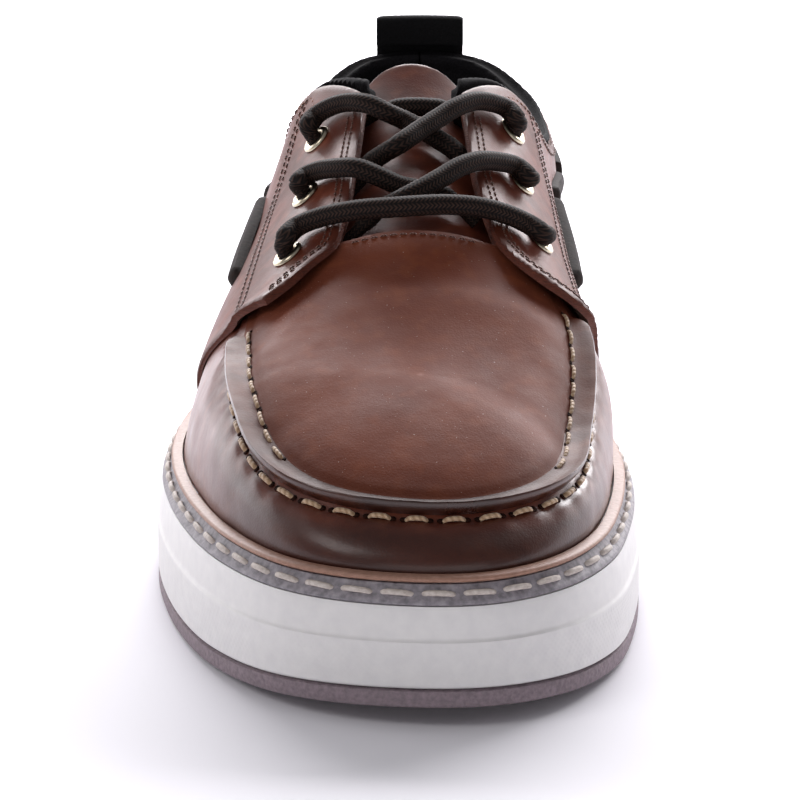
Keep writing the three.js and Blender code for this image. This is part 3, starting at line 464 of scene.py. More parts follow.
def add_node(tree, kind, sockets=(), **settings):
    """Adds a node with its settings; a socket gets a value, or a link when the value is another socket."""
    made = tree.nodes.new("ShaderNode" + kind)
    for key, value in settings.items():
        setattr(made, key, value)
    for key, value in dict(sockets).items():
        if isinstance(value, bpy.types.NodeSocket):
            tree.links.new(value, made.inputs[key])
        else:
            made.inputs[key].default_value = value
    return made


def new_finish(name):
    """A material with its node tree and its main shader."""
    made = bpy.data.materials.new(name)
    made.use_nodes = True
    return made, made.node_tree, made.node_tree.nodes["Principled BSDF"]


def blended(tree, share, first, second):
    """Colour between two, hex or socket, by a share."""
    first, second = (colour(c) if isinstance(c, str) else c for c in (first, second))
    return add_node(tree, "Mix", {"Factor": share, 6: first, 7: second}, data_type="RGBA").outputs[2]


def spread(tree, value, low, high):
    """A value spread from low..high to 0..1."""
    return add_node(tree, "MapRange", {"Value": value, "From Min": low, "From Max": high}).outputs[0]


def noise(tree, size_mm, detail=2.0, low=0.35, high=0.65, stretch=(1, 1, 1)):
    """Soft noise whose blotches are about size_mm across, spread to the range 0 to 1."""
    place = add_node(tree, "TexCoord").outputs["Object"]
    if stretch != (1, 1, 1):
        place = add_node(tree, "Mapping", {"Vector": place, "Scale": stretch}).outputs[0]
    made = add_node(tree, "TexNoise", {"Vector": place, "Scale": 1 / (size_mm * MM), "Detail": detail})
    return spread(tree, made.outputs[0], low, high)


def carried(tree, name, low, high):
    """An attribute that the piece carries, spread from low..high to 0..1."""
    return spread(tree, add_node(tree, "Attribute", attribute_name=name).outputs["Fac"], low, high)


def bump(tree, height, distance_mm, normal=None):
    """Relief that tilts the surface by the slope of height times distance."""
    sockets = {"Height": height, "Distance": distance_mm * MM, "Strength": 1.0}
    if normal is not None:
        sockets["Normal"] = normal
    return add_node(tree, "Bump", sockets).outputs[0]


# %% [markdown]
# Polished, pull-up leather: dyed brown, waxed and burnished darker where it is rubbed, and painted near
# black as shade on the toe's front and beside the toe seam. Under the wax the colour is mottled over a
# centimetre or two, the grain is a fine net of 0.8 mm, and the wax gives a soft broad gloss. The plug is
# waxed but not polished, so it is the dullest and has a little dust. Cut edges are dyed a redder brown.


# %% Leather
GRAIN_MM, BURNISH_AND_SHADE_BROWN, PALE_DUST = 0.8, "240e08", "a98b80"


def leather(name, main, dark, warm, rough, coat, shine=0.5, dust=0.0):
    """Blotches of two browns, darker at cut edges, near black where the piece carries burnish and painted
    shade, under a thin wax.
    """
    finish, tree, shader = new_finish(name)
    mottled = blended(tree, noise(tree, 16, 3, 0.3, 0.7), dark, main)
    mottled = blended(tree, noise(tree, 5, 2, 0.5, 0.85), mottled, warm)
    tinted = blended(tree, carried(tree, "border", 0.0, 4.0), dark, mottled)
    # Burnish and painted shade: the toe's front and the grooves by the toe seam turn near black
    tinted = blended(tree, carried(tree, "burnish_and_shade", 0.0, 1.0), tinted, BURNISH_AND_SHADE_BROWN)
    if dust:
        tinted = blended(tree, noise(tree, 0.45, 0, 0.845, 0.86), tinted, PALE_DUST)
    tree.links.new(tinted, shader.inputs["Base Color"])
    shader.inputs["Specular IOR Level"].default_value = shine
    shader.inputs["Coat Weight"].default_value = coat
    shader.inputs["Coat Roughness"].default_value = 0.2
    uneven = add_node(tree, "MapRange", {
        "Value": noise(tree, 9, 3, 0.3, 0.7), "To Min": rough - 0.05, "To Max": rough + 0.07}).outputs[0]
    tree.links.new(uneven, shader.inputs["Roughness"])
    place = add_node(tree, "TexCoord").outputs["Object"]
    net = {"Vector": place, "Scale": 1 / (GRAIN_MM * MM)}
    cells = add_node(tree, "TexVoronoi", net, feature="DISTANCE_TO_EDGE").outputs[0]
    grain = bump(tree, spread(tree, cells, 0.0, 0.25), 0.014)
    wavy = bump(tree, noise(tree, 4, 2, 0.2, 0.8), 0.05, grain)
    tree.links.new(wavy, shader.inputs["Normal"])
    return finish


def cut_edge(name, main, dark):
    """The cut side of leather: matt fibres in thin layers, dyed."""
    finish, tree, shader = new_finish(name)
    layers = noise(tree, 0.5, 2, 0.3, 0.7, (0.3, 0.3, 2.0))
    tree.links.new(blended(tree, layers, dark, main), shader.inputs["Base Color"])
    shader.inputs["Roughness"].default_value = 0.7
    tree.links.new(bump(tree, layers, 0.1), shader.inputs["Normal"])
    return finish


# The plug is dull and warm, the side walls gloss softly, the flaps lie between them, and the ridge is the
# glossiest, its inner face matt. Leather keeps an IOR of 1.5; less shine stands for a dry wax.
plug_leather = leather("waxed_plug_leather", "753c28", "673221", "7d4128", 0.6, 0.0, shine=0.15, dust=1.0)
polished_leather = leather("polished_pull_up_leather", "6e321f", "562413", "7a3f28", 0.38, 0.25, shine=0.4)
flap_leather = leather("polished_flap_leather", "703524", "4f2214", "7b3f2a", 0.5, 0.05, shine=0.3)
burnished_leather = leather("burnished_seam_leather", "623022", "3f1b10", "70402c", 0.3, 0.4)
ridge_edge = leather("matt_lip_leather", "6a3826", "4c2417", "713f2a", 0.55, 0.0, shine=0.3)
dyed_edge = cut_edge("dyed_cut_edge", "6e3522", "4a1f12")


# %% Fabrics, threads and metal
def maths(tree, kind, first, second=0.0):
    """One sum on one or two values."""
    return add_node(tree, "Math", {0: first, 1: second}, operation=kind).outputs[0]


def thread(name, main, dark, ply_mm):
    """Waxed thread of three plies: bands run slantwise round it, as far apart as a ply is long; the dark
    bands are painted shade in the grooves between the plies.
    """
    finish, tree, shader = new_finish(name)
    place = add_node(tree, "UVMap", uv_map="pattern").outputs[0]
    parts = add_node(tree, "SeparateXYZ", {0: place}).outputs
    turn = maths(tree, "MULTIPLY", parts[1], 1 / ply_mm)
    turn = maths(tree, "MULTIPLY", maths(tree, "ADD", turn, parts[0]), 2 * math.pi)
    ply = spread(tree, maths(tree, "SINE", turn), -1.0, 0.6)
    fuzz = maths(tree, "MULTIPLY", noise(tree, 0.4, 3, 0.3, 0.7), 0.35)
    tint = blended(tree, fuzz, blended(tree, ply, dark, main), dark)
    tree.links.new(tint, shader.inputs["Base Color"])
    shader.inputs["Roughness"].default_value = 0.6
    shader.inputs["Sheen Weight"].default_value = 0.2
    tree.links.new(bump(tree, ply, 0.12), shader.inputs["Normal"])
    return finish


def plain(name, main, dark, rough, size_mm, depth_mm, sheen=0.0, metal=0.0, shine=0.5):
    """A finish with one noise for both its colour and its relief."""
    finish, tree, shader = new_finish(name)
    grain = noise(tree, size_mm, 3, 0.3, 0.7)
    tree.links.new(blended(tree, grain, dark, main), shader.inputs["Base Color"])
    shader.inputs["Roughness"].default_value = rough
    shader.inputs["Metallic"].default_value = metal
    shader.inputs["Sheen Weight"].default_value = sheen
    shader.inputs["Specular IOR Level"].default_value = shine
    tree.links.new(bump(tree, grain, depth_mm), shader.inputs["Normal"])
    return finish


# Threads: thick waxed cream on the toe, flat and pale on the welt, fine brown and amber on the flaps
cream_thread = thread("waxed_cream_thread", "bfa384", "997a5c", 1.3)
pale_thread = plain("flat_pale_thread", "cfc6bf", "b3a79f", 0.65, 0.9, 0.04)
brown_thread = thread("fine_brown_thread", "6b3a22", "43200f", 0.7)
amber_thread = thread("amber_thread", "95552b", "633416", 0.7)
# Dark and dull: a hole, the oiled side lace, the cloth lining and the webbing keep hardly any gloss
needle_hole = plain("needle_hole", "2c140c", "1a0b06", 0.9, 1, 0.02, shine=0.1)
thong_leather = plain("oiled_lace_leather", "261914", "150d0a", 0.75, 1.2, 0.05, shine=0.15)
lining_cloth = plain("black_lining_cloth", "1a181b", "0b0a0c", 0.9, 0.5, 0.06, shine=0.12)
tab_webbing = plain("black_webbing", "0e0d0f", "060607", 0.85, 0.5, 0.05, shine=0.15)
# Inside: soft pale suede under the foot, a thin brown lining leather behind the quarters
footbed_suede = plain("tan_footbed_suede", "a07f64", "7d5f49", 0.9, 0.6, 0.05, sheen=0.2)
lining_leather = plain("lining_leather", "6b4f3e", "543a2a", 0.8, 1.0, 0.04)
# Metal with a sharp highlight, brushed by handling
eyelet_brass = plain("brushed_pale_brass", "d8ceb8", "b3a78f", 0.28, 0.8, 0.01, metal=1.0)
# Rubbers and the rand: a smooth satin white, a mottled grey welt, a tan strip, a dull taupe tread
white_rubber = plain("white_wall_rubber", "e2e0df", "dbd9d9", 0.5, 3.0, 0.02)
grey_rubber = plain("grey_welt_rubber", "9d979d", "6f6a70", 0.55, 1.3, 0.05)
tan_rand = plain("tan_rand_leather", "a47d6c", "8f6a59", 0.5, 1.0, 0.03)
taupe_rubber = plain("taupe_tread_rubber", "8f8086", "75686f", 0.7, 0.9, 0.08)


def braid(name, groove, ridge):
    """Waxed cotton: the piece carries its relief; the grooves are painted near black as shade, and the plies
    are brown.
    """
    finish, tree, shader = new_finish(name)
    tint = blended(tree, carried(tree, "relief", 0.2, 0.9), groove, ridge)
    tree.links.new(tint, shader.inputs["Base Color"])
    shader.inputs["Roughness"].default_value = 0.75
    shader.inputs["Specular IOR Level"].default_value = 0.2
    return finish


braid_cotton = braid("waxed_braided_cotton", "080404", "3d2c25")
print("finishes:", len(bpy.data.materials))

# %% [markdown]
# ## Camera and light
# The camera stands 670 mm in front of the shoe's middle and a little above it, as in the photograph's
# fitted view. Paper covers the floor. One large soft light stands behind the shoe, a wide and a square one in
# front of it, and two low ones light the paper at the sides, so that the leather has broad reflections.

# %% Camera
AIM = np.array([-4.3, 0.0, 28.3]) + SHIFT
DISTANCE, ELEVATION, AZIMUTH = 670.0, math.radians(13.8), math.radians(0.6)
back = np.array([math.sin(AZIMUTH), -math.cos(AZIMUTH), math.tan(ELEVATION)]) * math.cos(ELEVATION)
camera = bpy.data.objects.new("camera", bpy.data.cameras.new("camera"))
bpy.context.scene.collection.objects.link(camera)
bpy.context.scene.camera = camera
camera.data.lens, camera.data.sensor_width = 122.2, 36.0
camera.data.clip_start, camera.data.clip_end = 0.05, 20
camera.location = (AIM + back * DISTANCE) * MM
camera.rotation_euler = Vector(-back).to_track_quat("-Z", "Y").to_euler()


# %% Floor and lights
def lamp(name, place, aim, size, power, tint):
    """A rectangular soft light at a place, turned towards its aim."""
    data = bpy.data.lights.new(name, "AREA")
    data.shape = "RECTANGLE"
    data.size, data.size_y = size
    data.energy, data.color = power, tint
    made = bpy.data.objects.new(name, data)
    bpy.context.scene.collection.objects.link(made)
    made.location = place
    made.rotation_euler = (Vector(aim) - Vector(place)).to_track_quat("-Z", "Y").to_euler()


def studio_floor():
    """A square of white paper, 12 m wide, at height 0."""
    mesh = bpy.data.meshes.new("studio_floor")
    mesh.from_pydata([(-6, -6, 0), (6, -6, 0), (6, 6, 0), (-6, 6, 0)], [], [(0, 1, 2, 3)])
    made = bpy.data.objects.new("studio_floor", mesh)
    bpy.context.scene.collection.objects.link(made)
    paper, _, shader = new_finish("white_paper")
    shader.inputs["Base Color"].default_value = colour("f4f3f8")
    shader.inputs["Roughness"].default_value = 0.9
    shader.inputs["Specular IOR Level"].default_value = 0.1
    mesh.materials.append(paper)


studio_floor()
bpy.context.scene.view_settings.view_transform = "Standard"
world = bpy.data.worlds.new("pale_studio")
bpy.context.scene.world = world
world.use_nodes = True
sky = world.node_tree.nodes["Background"].inputs
sky["Color"].default_value = colour("fbfaff")
sky["Strength"].default_value = 0.2
lamp("back_light", (0.2, 1.45, 0.98), (0, 0, 0), (2.6, 0.9), 96, (1.0, 0.98, 1.0))
lamp("front_left_box", (-0.95, -0.6, 1.05), (0, -0.08, 0.03), (0.6, 0.6), 4, (1.0, 0.98, 0.98))
lamp("front_fill", (0.2, -1.6, 0.3), (0, -0.1, 0.03), (2.2, 0.5), 3.5, (1.0, 0.99, 0.98))
lamp("left_backdrop", (-1.5, 1.0, 0.45), (0, 0, 0.05), (1.6, 0.9), 13, (0.98, 0.97, 1.0))
lamp("right_backdrop", (1.5, 1.2, 0.4), (0, 0, 0.05), (1.4, 0.8), 8, (0.98, 0.97, 1.0))

# %% [markdown]
# ## Sole
# The sole is a tread of taupe rubber, a white rubber wall that is a cup for the upper, a grey welt that
# slopes up to the leather and is sewn through with thick cream thread, and a narrow tan rand. Each is a
# set of rings round the shoe: a ring keeps one distance from the outline and one height rule.


# %% Rings round the sole
def sole_columns(per_station):
    """Stations all round the sole, so many to each, and what is known there."""
    return stations(np.arange(STATIONS * per_station) / per_station)


def round_length(at):
    """Length along the sole's outline at each column; the last value is the whole round."""
    edge = at["foot"] + at["out"] * FEATHER_INSET
    return np.concatenate([[0], np.cumsum(np.linalg.norm(np.roll(edge, -1, 0) - edge, axis=1))])


def ring(at, out, height):
    """One ring: the outline moved out by a length or an array of lengths, at height(y)."""
    edge = at["foot"] + at["out"] * (FEATHER_INSET + np.asarray(out))[..., None]
    return np.column_stack([edge, height(edge[:, 1]) if callable(height) else height])


def inner_rings(at, edge_ring, shares, height):
    """Rings from the middle line (share 0) out towards an edge ring (share 1)."""
    return [np.column_stack([
        (1 - s) * at["spine"] + s * edge_ring[:, :2],
        height((1 - s) * at["spine"] + s * edge_ring[:, :2], s),
    ]) for s in shares]


def middle_ids(count, per_station):
    """On the middle line the columns of both sides are one point, and in a fan all are its centre."""
    k = np.arange(count)
    half = np.minimum(k, count - k)
    return np.clip(half, TOE_FAN * per_station, (TOE_FAN + SIDES) * per_station)


def compact(points, faces, *more):
    """Drops the points that no face uses."""
    used = np.zeros(len(points), bool)
    used[faces.ravel()] = True
    new = np.cumsum(used) - 1
    return (points[used], new[faces], *(value[used] for value in more))


def ring_stack(rings, per_station):
    """Triangles of a stack of rings, with the first and last ring sewn up along the middle line."""
    rings = np.array(rings)
    rows, count = rings.shape[:2]
    ids = np.arange(rows * count)
    ids[:count] = middle_ids(count, per_station)
    ids[-count:] = (rows - 1) * count + middle_ids(count, per_station)
    quads, _ = grid_faces(rows, count, closed_columns=True)
    return compact(rings.reshape(-1, 3), triangles_of(ids[quads]))


# %% Tread, white wall, welt and rand
def make_outsole():
    """Bottom with wavy cuts every 6.2 mm: depth falls where y, shifted by a sine of x, nears a multiple."""
    per = 24
    at = sole_columns(per)
    length = round_length(at)[:-1]
    edge = ring(at, -0.6, tread)

    def bottom(xy, share):
        phase = np.mod((xy[:, 1] + 1.6 * np.sin(xy[:, 0] * 2 * math.pi / 11)) / 6.2, 1)
        cut = ease(0.13 - np.abs(phase - 0.5), 0.0, 0.07) * (1 if share < 0.93 else 0)
        return tread(xy[:, 1]) + 1.2 * cut

    rough = 0.12 * np.sin(length * 2.1) * np.sin(length * 0.73 + 1) + 0.08 * np.sin(length * 5.3 + 2)
    rings = inner_rings(at, edge, np.linspace(0, 0.97, 30), bottom) + [
        edge,
        ring(at, -0.2, lambda y: tread(y) + 0.2),
        ring(at, 0.0, lambda y: tread(y) + 0.8),
        ring(at, 0.05 * rough, lambda y: tread(y) + 2.2),
        ring(at, -0.1 + 0.6 * rough, lambda y: tread(y) + OUTSOLE_THICKNESS - 0.3 + rough),
        ring(at, -0.8, lambda y: tread(y) + OUTSOLE_THICKNESS),
    ]
    top = ring(at, -1.5, lambda y: tread(y) + OUTSOLE_THICKNESS)
    rings += inner_rings(at, top, [1.0, 0.5, 0.0], lambda xy, s: tread(xy[:, 1]) + OUTSOLE_THICKNESS)
    piece("outsole_rubber", *ring_stack(rings, per), taupe_rubber, "tread_rubber", ["outsole"])


def make_midsole():
    """White cup: the lower band has slanting ribs, a cosine of length less height every 1.5 mm."""
    per = 52
    at = sole_columns(per)
    *length, whole = round_length(at)
    length, pitch = np.array(length), whole / round(whole / 1.5)
    base = lambda y: tread(y) + OUTSOLE_THICKNESS + GAP
    level = lambda part: (lambda y: base(y) + (wall_top(y) - base(y)) * part)
    foot = ring(at, -0.6, base)
    rings = inner_rings(at, foot, [0.0, 0.5], lambda xy, s: base(xy[:, 1]))
    rings += [foot, ring(at, -0.1, level(0.02))]
    for part in np.linspace(0.04, 0.56, 12):
        fade = ease(part, 0.03, 0.09) * ease(0.57 - part, 0.0, 0.06)
        rib = 0.5 + 0.5 * np.cos(2 * math.pi * (length - part * 17 * 1.1) / pitch)
        rings.append(ring(at, -0.13 * rib * fade, level(part)))
    upper_band = (
        (0.575, -0.05), (0.59, -0.35), (0.605, -0.55), (0.63, -WALL_STEP), (0.8, -0.85), (0.96, -1.15))
    rings += [ring(at, out, level(part)) for part, out in upper_band]
    rings.append(ring(at, -WALL_DRAFT - 0.25, wall_top))
    inner = ring(at, GAP - FEATHER_INSET, wall_top)
    rings += [inner, ring(at, GAP - FEATHER_INSET, cup_floor)]
    rings += inner_rings(at, rings[-1], [0.5, 0.0], lambda xy, s: cup_floor(xy[:, 1]))
    piece("white_cup_wall", *ring_stack(rings, per), white_rubber, "sidewall_rubber", ["midsole"])


def make_band(name, corners, per, finish, slot, nodes):
    """Closed section round the shoe; corners are pairs of outset and height above the wall's top."""
    at = sole_columns(per)
    top = wall_top(at["foot"][:, 1])
    rings = np.array([ring(at, out, top + height) for out, height in corners])
    faces, _ = grid_faces(len(rings), rings.shape[1], closed_rows=True, closed_columns=True)
    piece(name, rings.reshape(-1, 3), faces, finish, slot, nodes, sharp=50)


make_outsole()
make_midsole()
make_band("grey_welt", [
    (-5.9, 0.3), (-3.6, 0.3), (-1.5, 0.3), (-1.32, 0.45), (-1.4, 0.85), (-1.75, 1.2),
    (-2.3, 1.75), (-2.8, 2.15), (-3.3, 2.7), (-3.8, 3.4), (-4.1, 3.85), (-5.9, 3.9),
], 20, grey_rubber, "welt_rubber", ["welt"])
make_band("tan_rand", [
    (-5.9, 4.2), (-4.1, 4.2), (-3.75, 4.28), (-3.45, 4.55),
    (-3.42, 4.85), (-3.6, 5.15), (-3.95, 5.35), (-5.9, 5.4),
], 20, tan_rand, "rand_leather", ["rand"])


def make_insole():
    """Footbed: flat with a soft dish, its rim rounded over the last 3 mm."""
    per = 12
    at = sole_columns(per)
    edge = -FEATHER_INSET - LEATHER - GAP
    low = lambda y: cup_floor(y) + GAP
    foot = ring(at, edge, low)
    rings = inner_rings(at, foot, [0.0, 0.5], lambda xy, s: low(xy[:, 1])) + [foot]
    for out, height in ((0, 2.6), (-0.25, 3.2), (-0.9, 3.7), (-2.0, FOOTBED)):
        rings.append(ring(at, edge + out, lambda y, h=height: low(y) + h))
    rim = ring(at, edge - 2.0, low)
    rings += inner_rings(at, rim, [0.95, 0.85, 0.7, 0.5, 0.25, 0.0],
                         lambda xy, s: low(xy[:, 1]) + FOOTBED - 0.7 * float(ease(1 - s, 0, 0.5)))
    piece("footbed", *ring_stack(rings, per), footbed_suede, "footbed_suede", ["insole"])


make_insole()
print("sole:", dict(made_triangles))

# %% [markdown]
# ## Cutting leather from the last
# A pattern cutter marks a border on the last's surface and cuts along it. Here the border is a function
# that is positive inside the piece, in millimetres. Grid points just outside slide onto the border,
# faces beyond them are dropped, the two skins are lifted off the last, and a wall joins them.


# %% Lines seen from above and from the side
def line_distance(places, line):
    """Signed distance to an open line: the nearest of its spans, positive to the right of its direction."""
    start, end = line[:-1], line[1:]
    run = end - start
    away = places[..., None, :] - start
    share = np.clip((away * run).sum(-1) / (run**2).sum(-1), 0, 1)
    gap = away - share[..., None] * run
    square = (gap**2).sum(-1)
    nearest = square.argmin(-1)[..., None]
    side = run[..., 1] * away[..., 0] - run[..., 0] * away[..., 1]
    sign = np.sign(np.take_along_axis(side, nearest, -1)[..., 0])
    return np.sqrt(np.take_along_axis(square, nearest, -1)[..., 0]) * np.where(sign == 0, 1, sign)


def flap_line(side, shift=0.0, steps=6):
    """Free edge of a flap seen from above, front corner first, moved outwards across the shoe by shift."""
    line = smooth_line(FLAPS[side] * (BALL_WIDTH, SOLE_LENGTH), steps)
    return line + (SIDE[side] * shift, 0)


def behind_flap(point, side, seam):
    """Positive on the side of the shoe behind the flap's free edge."""
    sign = SIDE[side]
    edge = flap_line(side)
    x_end = edge[-1, 0]
    line = np.vstack([[sign * BALL_WIDTH, edge[0, 1]], edge, [x_end, HEEL_CENTRE], [x_end, SOLE_LENGTH]])
    free = line_distance(point[..., :2], line) * sign
    at_heel = sign * point[..., 0] - seam + 5 * np.maximum(HEEL_CENTRE - point[..., 1], 0)
    return np.where(point[..., 1] > HEEL_CENTRE - 5, at_heel, np.minimum(free, at_heel))


def below_topline(point, raise_by=0.0):
    """Positive under the collar's line; in front of the collar nothing is cut."""
    y, start = point[..., 1], TOPLINE[0, 0] * SOLE_LENGTH
    return topline(np.maximum(y, start)) + raise_by - point[..., 2] + 0.5 * np.maximum(start - y, 0)


def throat(point):
    """Positive outside the opening of the lacing, which ends 1 mm behind the flaps' edges."""
    left, right = flap_line("lateral", FLAP_LEDGE), flap_line("medial", FLAP_LEDGE)
    x, y = point[..., 0], point[..., 1]
    left_x, right_x = (np.interp(y, edge[:, 1][12:], edge[:, 0][12:]) for edge in (left, right))
    middle, half = (left_x + right_x) / 2, (right_x - left_x) / 2
    share = np.clip((x - middle) / np.maximum(half, 1) / 2, -0.5, 0.5)
    front = (THROAT_AT + THROAT_BOW * share**2) * SOLE_LENGTH
    return np.maximum(np.maximum(left_x - x, x - right_x), front - y)


# %% The cutter
def dilate(mask, closed):
    """The mask grown by one grid point in all eight directions."""
    grown = mask.copy()
    for a in (-1, 0, 1):
        for b in (-1, 0, 1):
            moved = np.roll(mask, (a, b), (0, 1))
            if not closed and a:
                moved[0 if a == 1 else -1] = False
            if b:
                moved[:, 0 if b == 1 else -1] = False
            grown |= moved
    return grown


def cut_leather(k_values, shares, border, outer, inner,
                closed=False, seam_ids=None, wall_steps=3, bulge=0.12):
    """Returns points, triangles, the part of each triangle (0 skin, 1 cut edge, 2 inner skin) and what the
    points carry: their distance from the border, their k and share."""
    k, share = np.meshgrid(k_values, shares, indexing="ij")
    point, normal = on_last(k, share)
    inside_by = border(point)
    inside = inside_by > 0
    near = dilate(inside, closed) & ~inside
    dk, ds = np.gradient(inside_by, k_values, shares)
    length_k = np.linalg.norm(np.gradient(point, k_values, axis=0), axis=2) + 1e-6
    length_s = np.linalg.norm(np.gradient(point, shares, axis=1), axis=2) + 1e-6
    steep = (dk / length_k) ** 2 + (ds / length_s) ** 2 + 1e-6
    for _ in range(3):
        by = border(on_last(k[near], share[near])[0])
        move = np.clip(by / steep[near], -2.5, 2.5)
        k[near] -= move * dk[near] / length_k[near] ** 2
        share[near] -= move * ds[near] / length_s[near] ** 2
        share = np.clip(share, 0, 2)
    point, normal = on_last(k, share)
    depth = np.where(near, 0, np.maximum(inside_by, 0))
    rows, columns = k.shape
    quads, _ = grid_faces(rows, columns, closed_rows=closed)
    keep = inside.ravel()[quads].any(1)
    ids = np.arange(rows * columns) if seam_ids is None else seam_ids
    skin = triangles_of(ids[quads[keep]])
    count = rows * columns
    edges = np.vstack([skin[:, [0, 1]], skin[:, [1, 2]], skin[:, [2, 0]]])
    key, back_key = edges[:, 0] * count + edges[:, 1], edges[:, 1] * count + edges[:, 0]
    rim = edges[~np.isin(key, back_key)]
    point, normal, depth = point.reshape(-1, 3), normal.reshape(-1, 3), depth.ravel()
    k, share = k.ravel(), share.ravel()
    lift_out, lift_in = outer(point, depth, k, share), inner(point, depth, k, share)
    layers = [point + normal * lift_out[:, None]]
    away = np.zeros((count, 3))
    along_rim = unit(point[rim[:, 1]] - point[rim[:, 0]])
    side = np.cross(along_rim, normal[rim[:, 0]])
    np.add.at(away, rim[:, 0], side)
    np.add.at(away, rim[:, 1], side)
    away = unit(away)
    walls = []
    for step in range(1, wall_steps):
        t = step / wall_steps
        lift = lift_out * (1 - t) + lift_in * t
        layers.append(point + normal * lift[:, None] + away * (bulge * math.sin(math.pi * t)))
    layers.append(point + normal * lift_in[:, None])
    for step in range(wall_steps):
        a, b = rim[:, 0] + step * count, rim[:, 1] + step * count
        walls.append(np.stack([b, a, a + count, b + count], 1))
    walls = triangles_of(np.vstack(walls))
    inner_skin = skin[:, ::-1] + wall_steps * count
    faces = np.vstack([skin, walls, inner_skin])
    part = np.repeat([0, 1, 2], [len(skin), len(walls), len(inner_skin)])
    carry = [np.tile(value, wall_steps + 1) for value in (depth, k, share)]
    points, faces, depth, k, share = compact(np.vstack(layers), faces, *carry)
    return points, faces, part, depth, k, share


def rounded(depth, radius):
    """How far a skin drops towards a cut edge: a quarter circle over the last radius of millimetres."""
    t = np.clip(1 - depth / radius, 0, 1)
    return radius * (1 - np.sqrt(1 - 0.96 * t * t))


# %% [markdown]
# ## Upper
# One hollow skin: its side walls, toe and plug show at the front, and it runs on under the quarters. It
# is open at the collar, the throat and underneath. The toe seam's needle holes pull the leather into
# shallow puckers just outside the ridge, and walking has set a few soft creases, listed here in
# shares of the shoe's sizes.

# %% Shoulder line and soft forms
RIDGE_WIDTH, RIDGE_HEIGHT, STITCH_PITCH = 5.2, 2.7, 7.4
# A distance from a border at which no cut edge is felt any more
FAR_INSIDE = 9.0


def from_shoulder(k, share):
    """Millimetres along the surface from the shoulder line, positive towards the plug."""
    columns = np.arange(0, COLUMNS, 20)
    line = LAST[columns][:, np.arange(0, ROWS + 1, 3)]
    run = np.cumsum(np.linalg.norm(np.diff(line, axis=1), axis=2), 1)
    run = np.hstack([np.zeros((len(columns), 1)), run])
    run -= run[:, 40:41]
    a = np.mod(k, STATIONS) * PER_STATION / 20
    a0 = np.floor(a).astype(int)
    b = np.clip(share, 0, 2) * 40
    b0 = np.minimum(np.floor(b).astype(int), 79)
    fa, fb = a - a0, b - b0
    a0, a1 = a0 % len(columns), (a0 + 1) % len(columns)
    return ((run[a0, b0] * (1 - fa) + run[a1, b0] * fa) * (1 - fb)
            + (run[a0, b0 + 1] * (1 - fa) + run[a1, b0 + 1] * fa) * fb)


shoulder_k = np.linspace(-12.5, 12.5, 1201)
shoulder_points = on_last(shoulder_k, np.ones_like(shoulder_k))[0]
shoulder_run = np.concatenate([[0], np.cumsum(np.linalg.norm(np.diff(shoulder_points, axis=0), axis=1))])
shoulder_run -= np.interp(0, shoulder_k, shoulder_run)


def signed_station(k):
    """Stations from the toe's middle, positive on the little toe's side."""
    return np.mod(k + HALF, STATIONS) - HALF


def run_round(k):
    """Length along the shoulder line from the toe's middle."""
    return np.interp(signed_station(k), shoulder_k, shoulder_run)


# Soft creases: across and along of the middle, length, width, turn in degrees, depth in mm (minus: a ridge)
CREASES = np.array([
    (-0.33, -0.245, 30, 7, 62, 0.45), (-0.40, -0.21, 26, 6, 70, -0.25), (0.32, -0.235, 30, 7, -65, 0.4),
    (0.37, -0.2, 24, 6, -70, -0.25), (-0.1, -0.17, 46, 8, 4, 0.35), (0.1, -0.185, 44, 9, -6, 0.3),
    (0.0, -0.21, 60, 12, 0, -0.25), (-0.27, -0.36, 26, 9, 35, 0.3), (0.28, -0.35, 22, 8, -40, 0.25),
])


def creases(point):
    """Sum of bells, long along their line and narrow across it."""
    total = np.zeros(point.shape[:-1])
    for across, at, length, width, turn, deep in CREASES:
        x, y = point[..., 0] - across * BALL_WIDTH, point[..., 1] - at * SOLE_LENGTH
        c, s = math.cos(math.radians(turn)), math.sin(math.radians(turn))
        along_it, across_it = (x * c + y * s) / (0.5 * length), (y * c - x * s) / (0.5 * width)
        total -= deep * np.exp(-along_it**2 - across_it**2)
    return total


def front_half(k):
    """1 over the front of the shoe, 0 behind its tenth or eleventh station, soft between."""
    return 1 - ease(np.abs(signed_station(k)), 10.0, 11.5)


def vamp_lift(point, depth, k, share):
    """Creases, puckers of the toe seam outside the ridge and a groove at each of its feet."""
    gap = from_shoulder(k, share)
    pucker = np.cos(2 * math.pi * run_round(k) / STITCH_PITCH) * np.exp(-((gap + 4.6) / 2.2) ** 2)
    groove = np.exp(-((gap - 3.2) / 1.3) ** 2) + 0.8 * np.exp(-((gap + 3.3) / 1.2) ** 2)
    swell_plug = 0.5 * ease(gap, 3, 14) * (1 - ease(point[..., 1], -70, -45))
    forms = front_half(k) * (0.14 * pucker - 0.4 * groove + swell_plug)
    return creases(point) + forms - rounded(depth, 0.7)


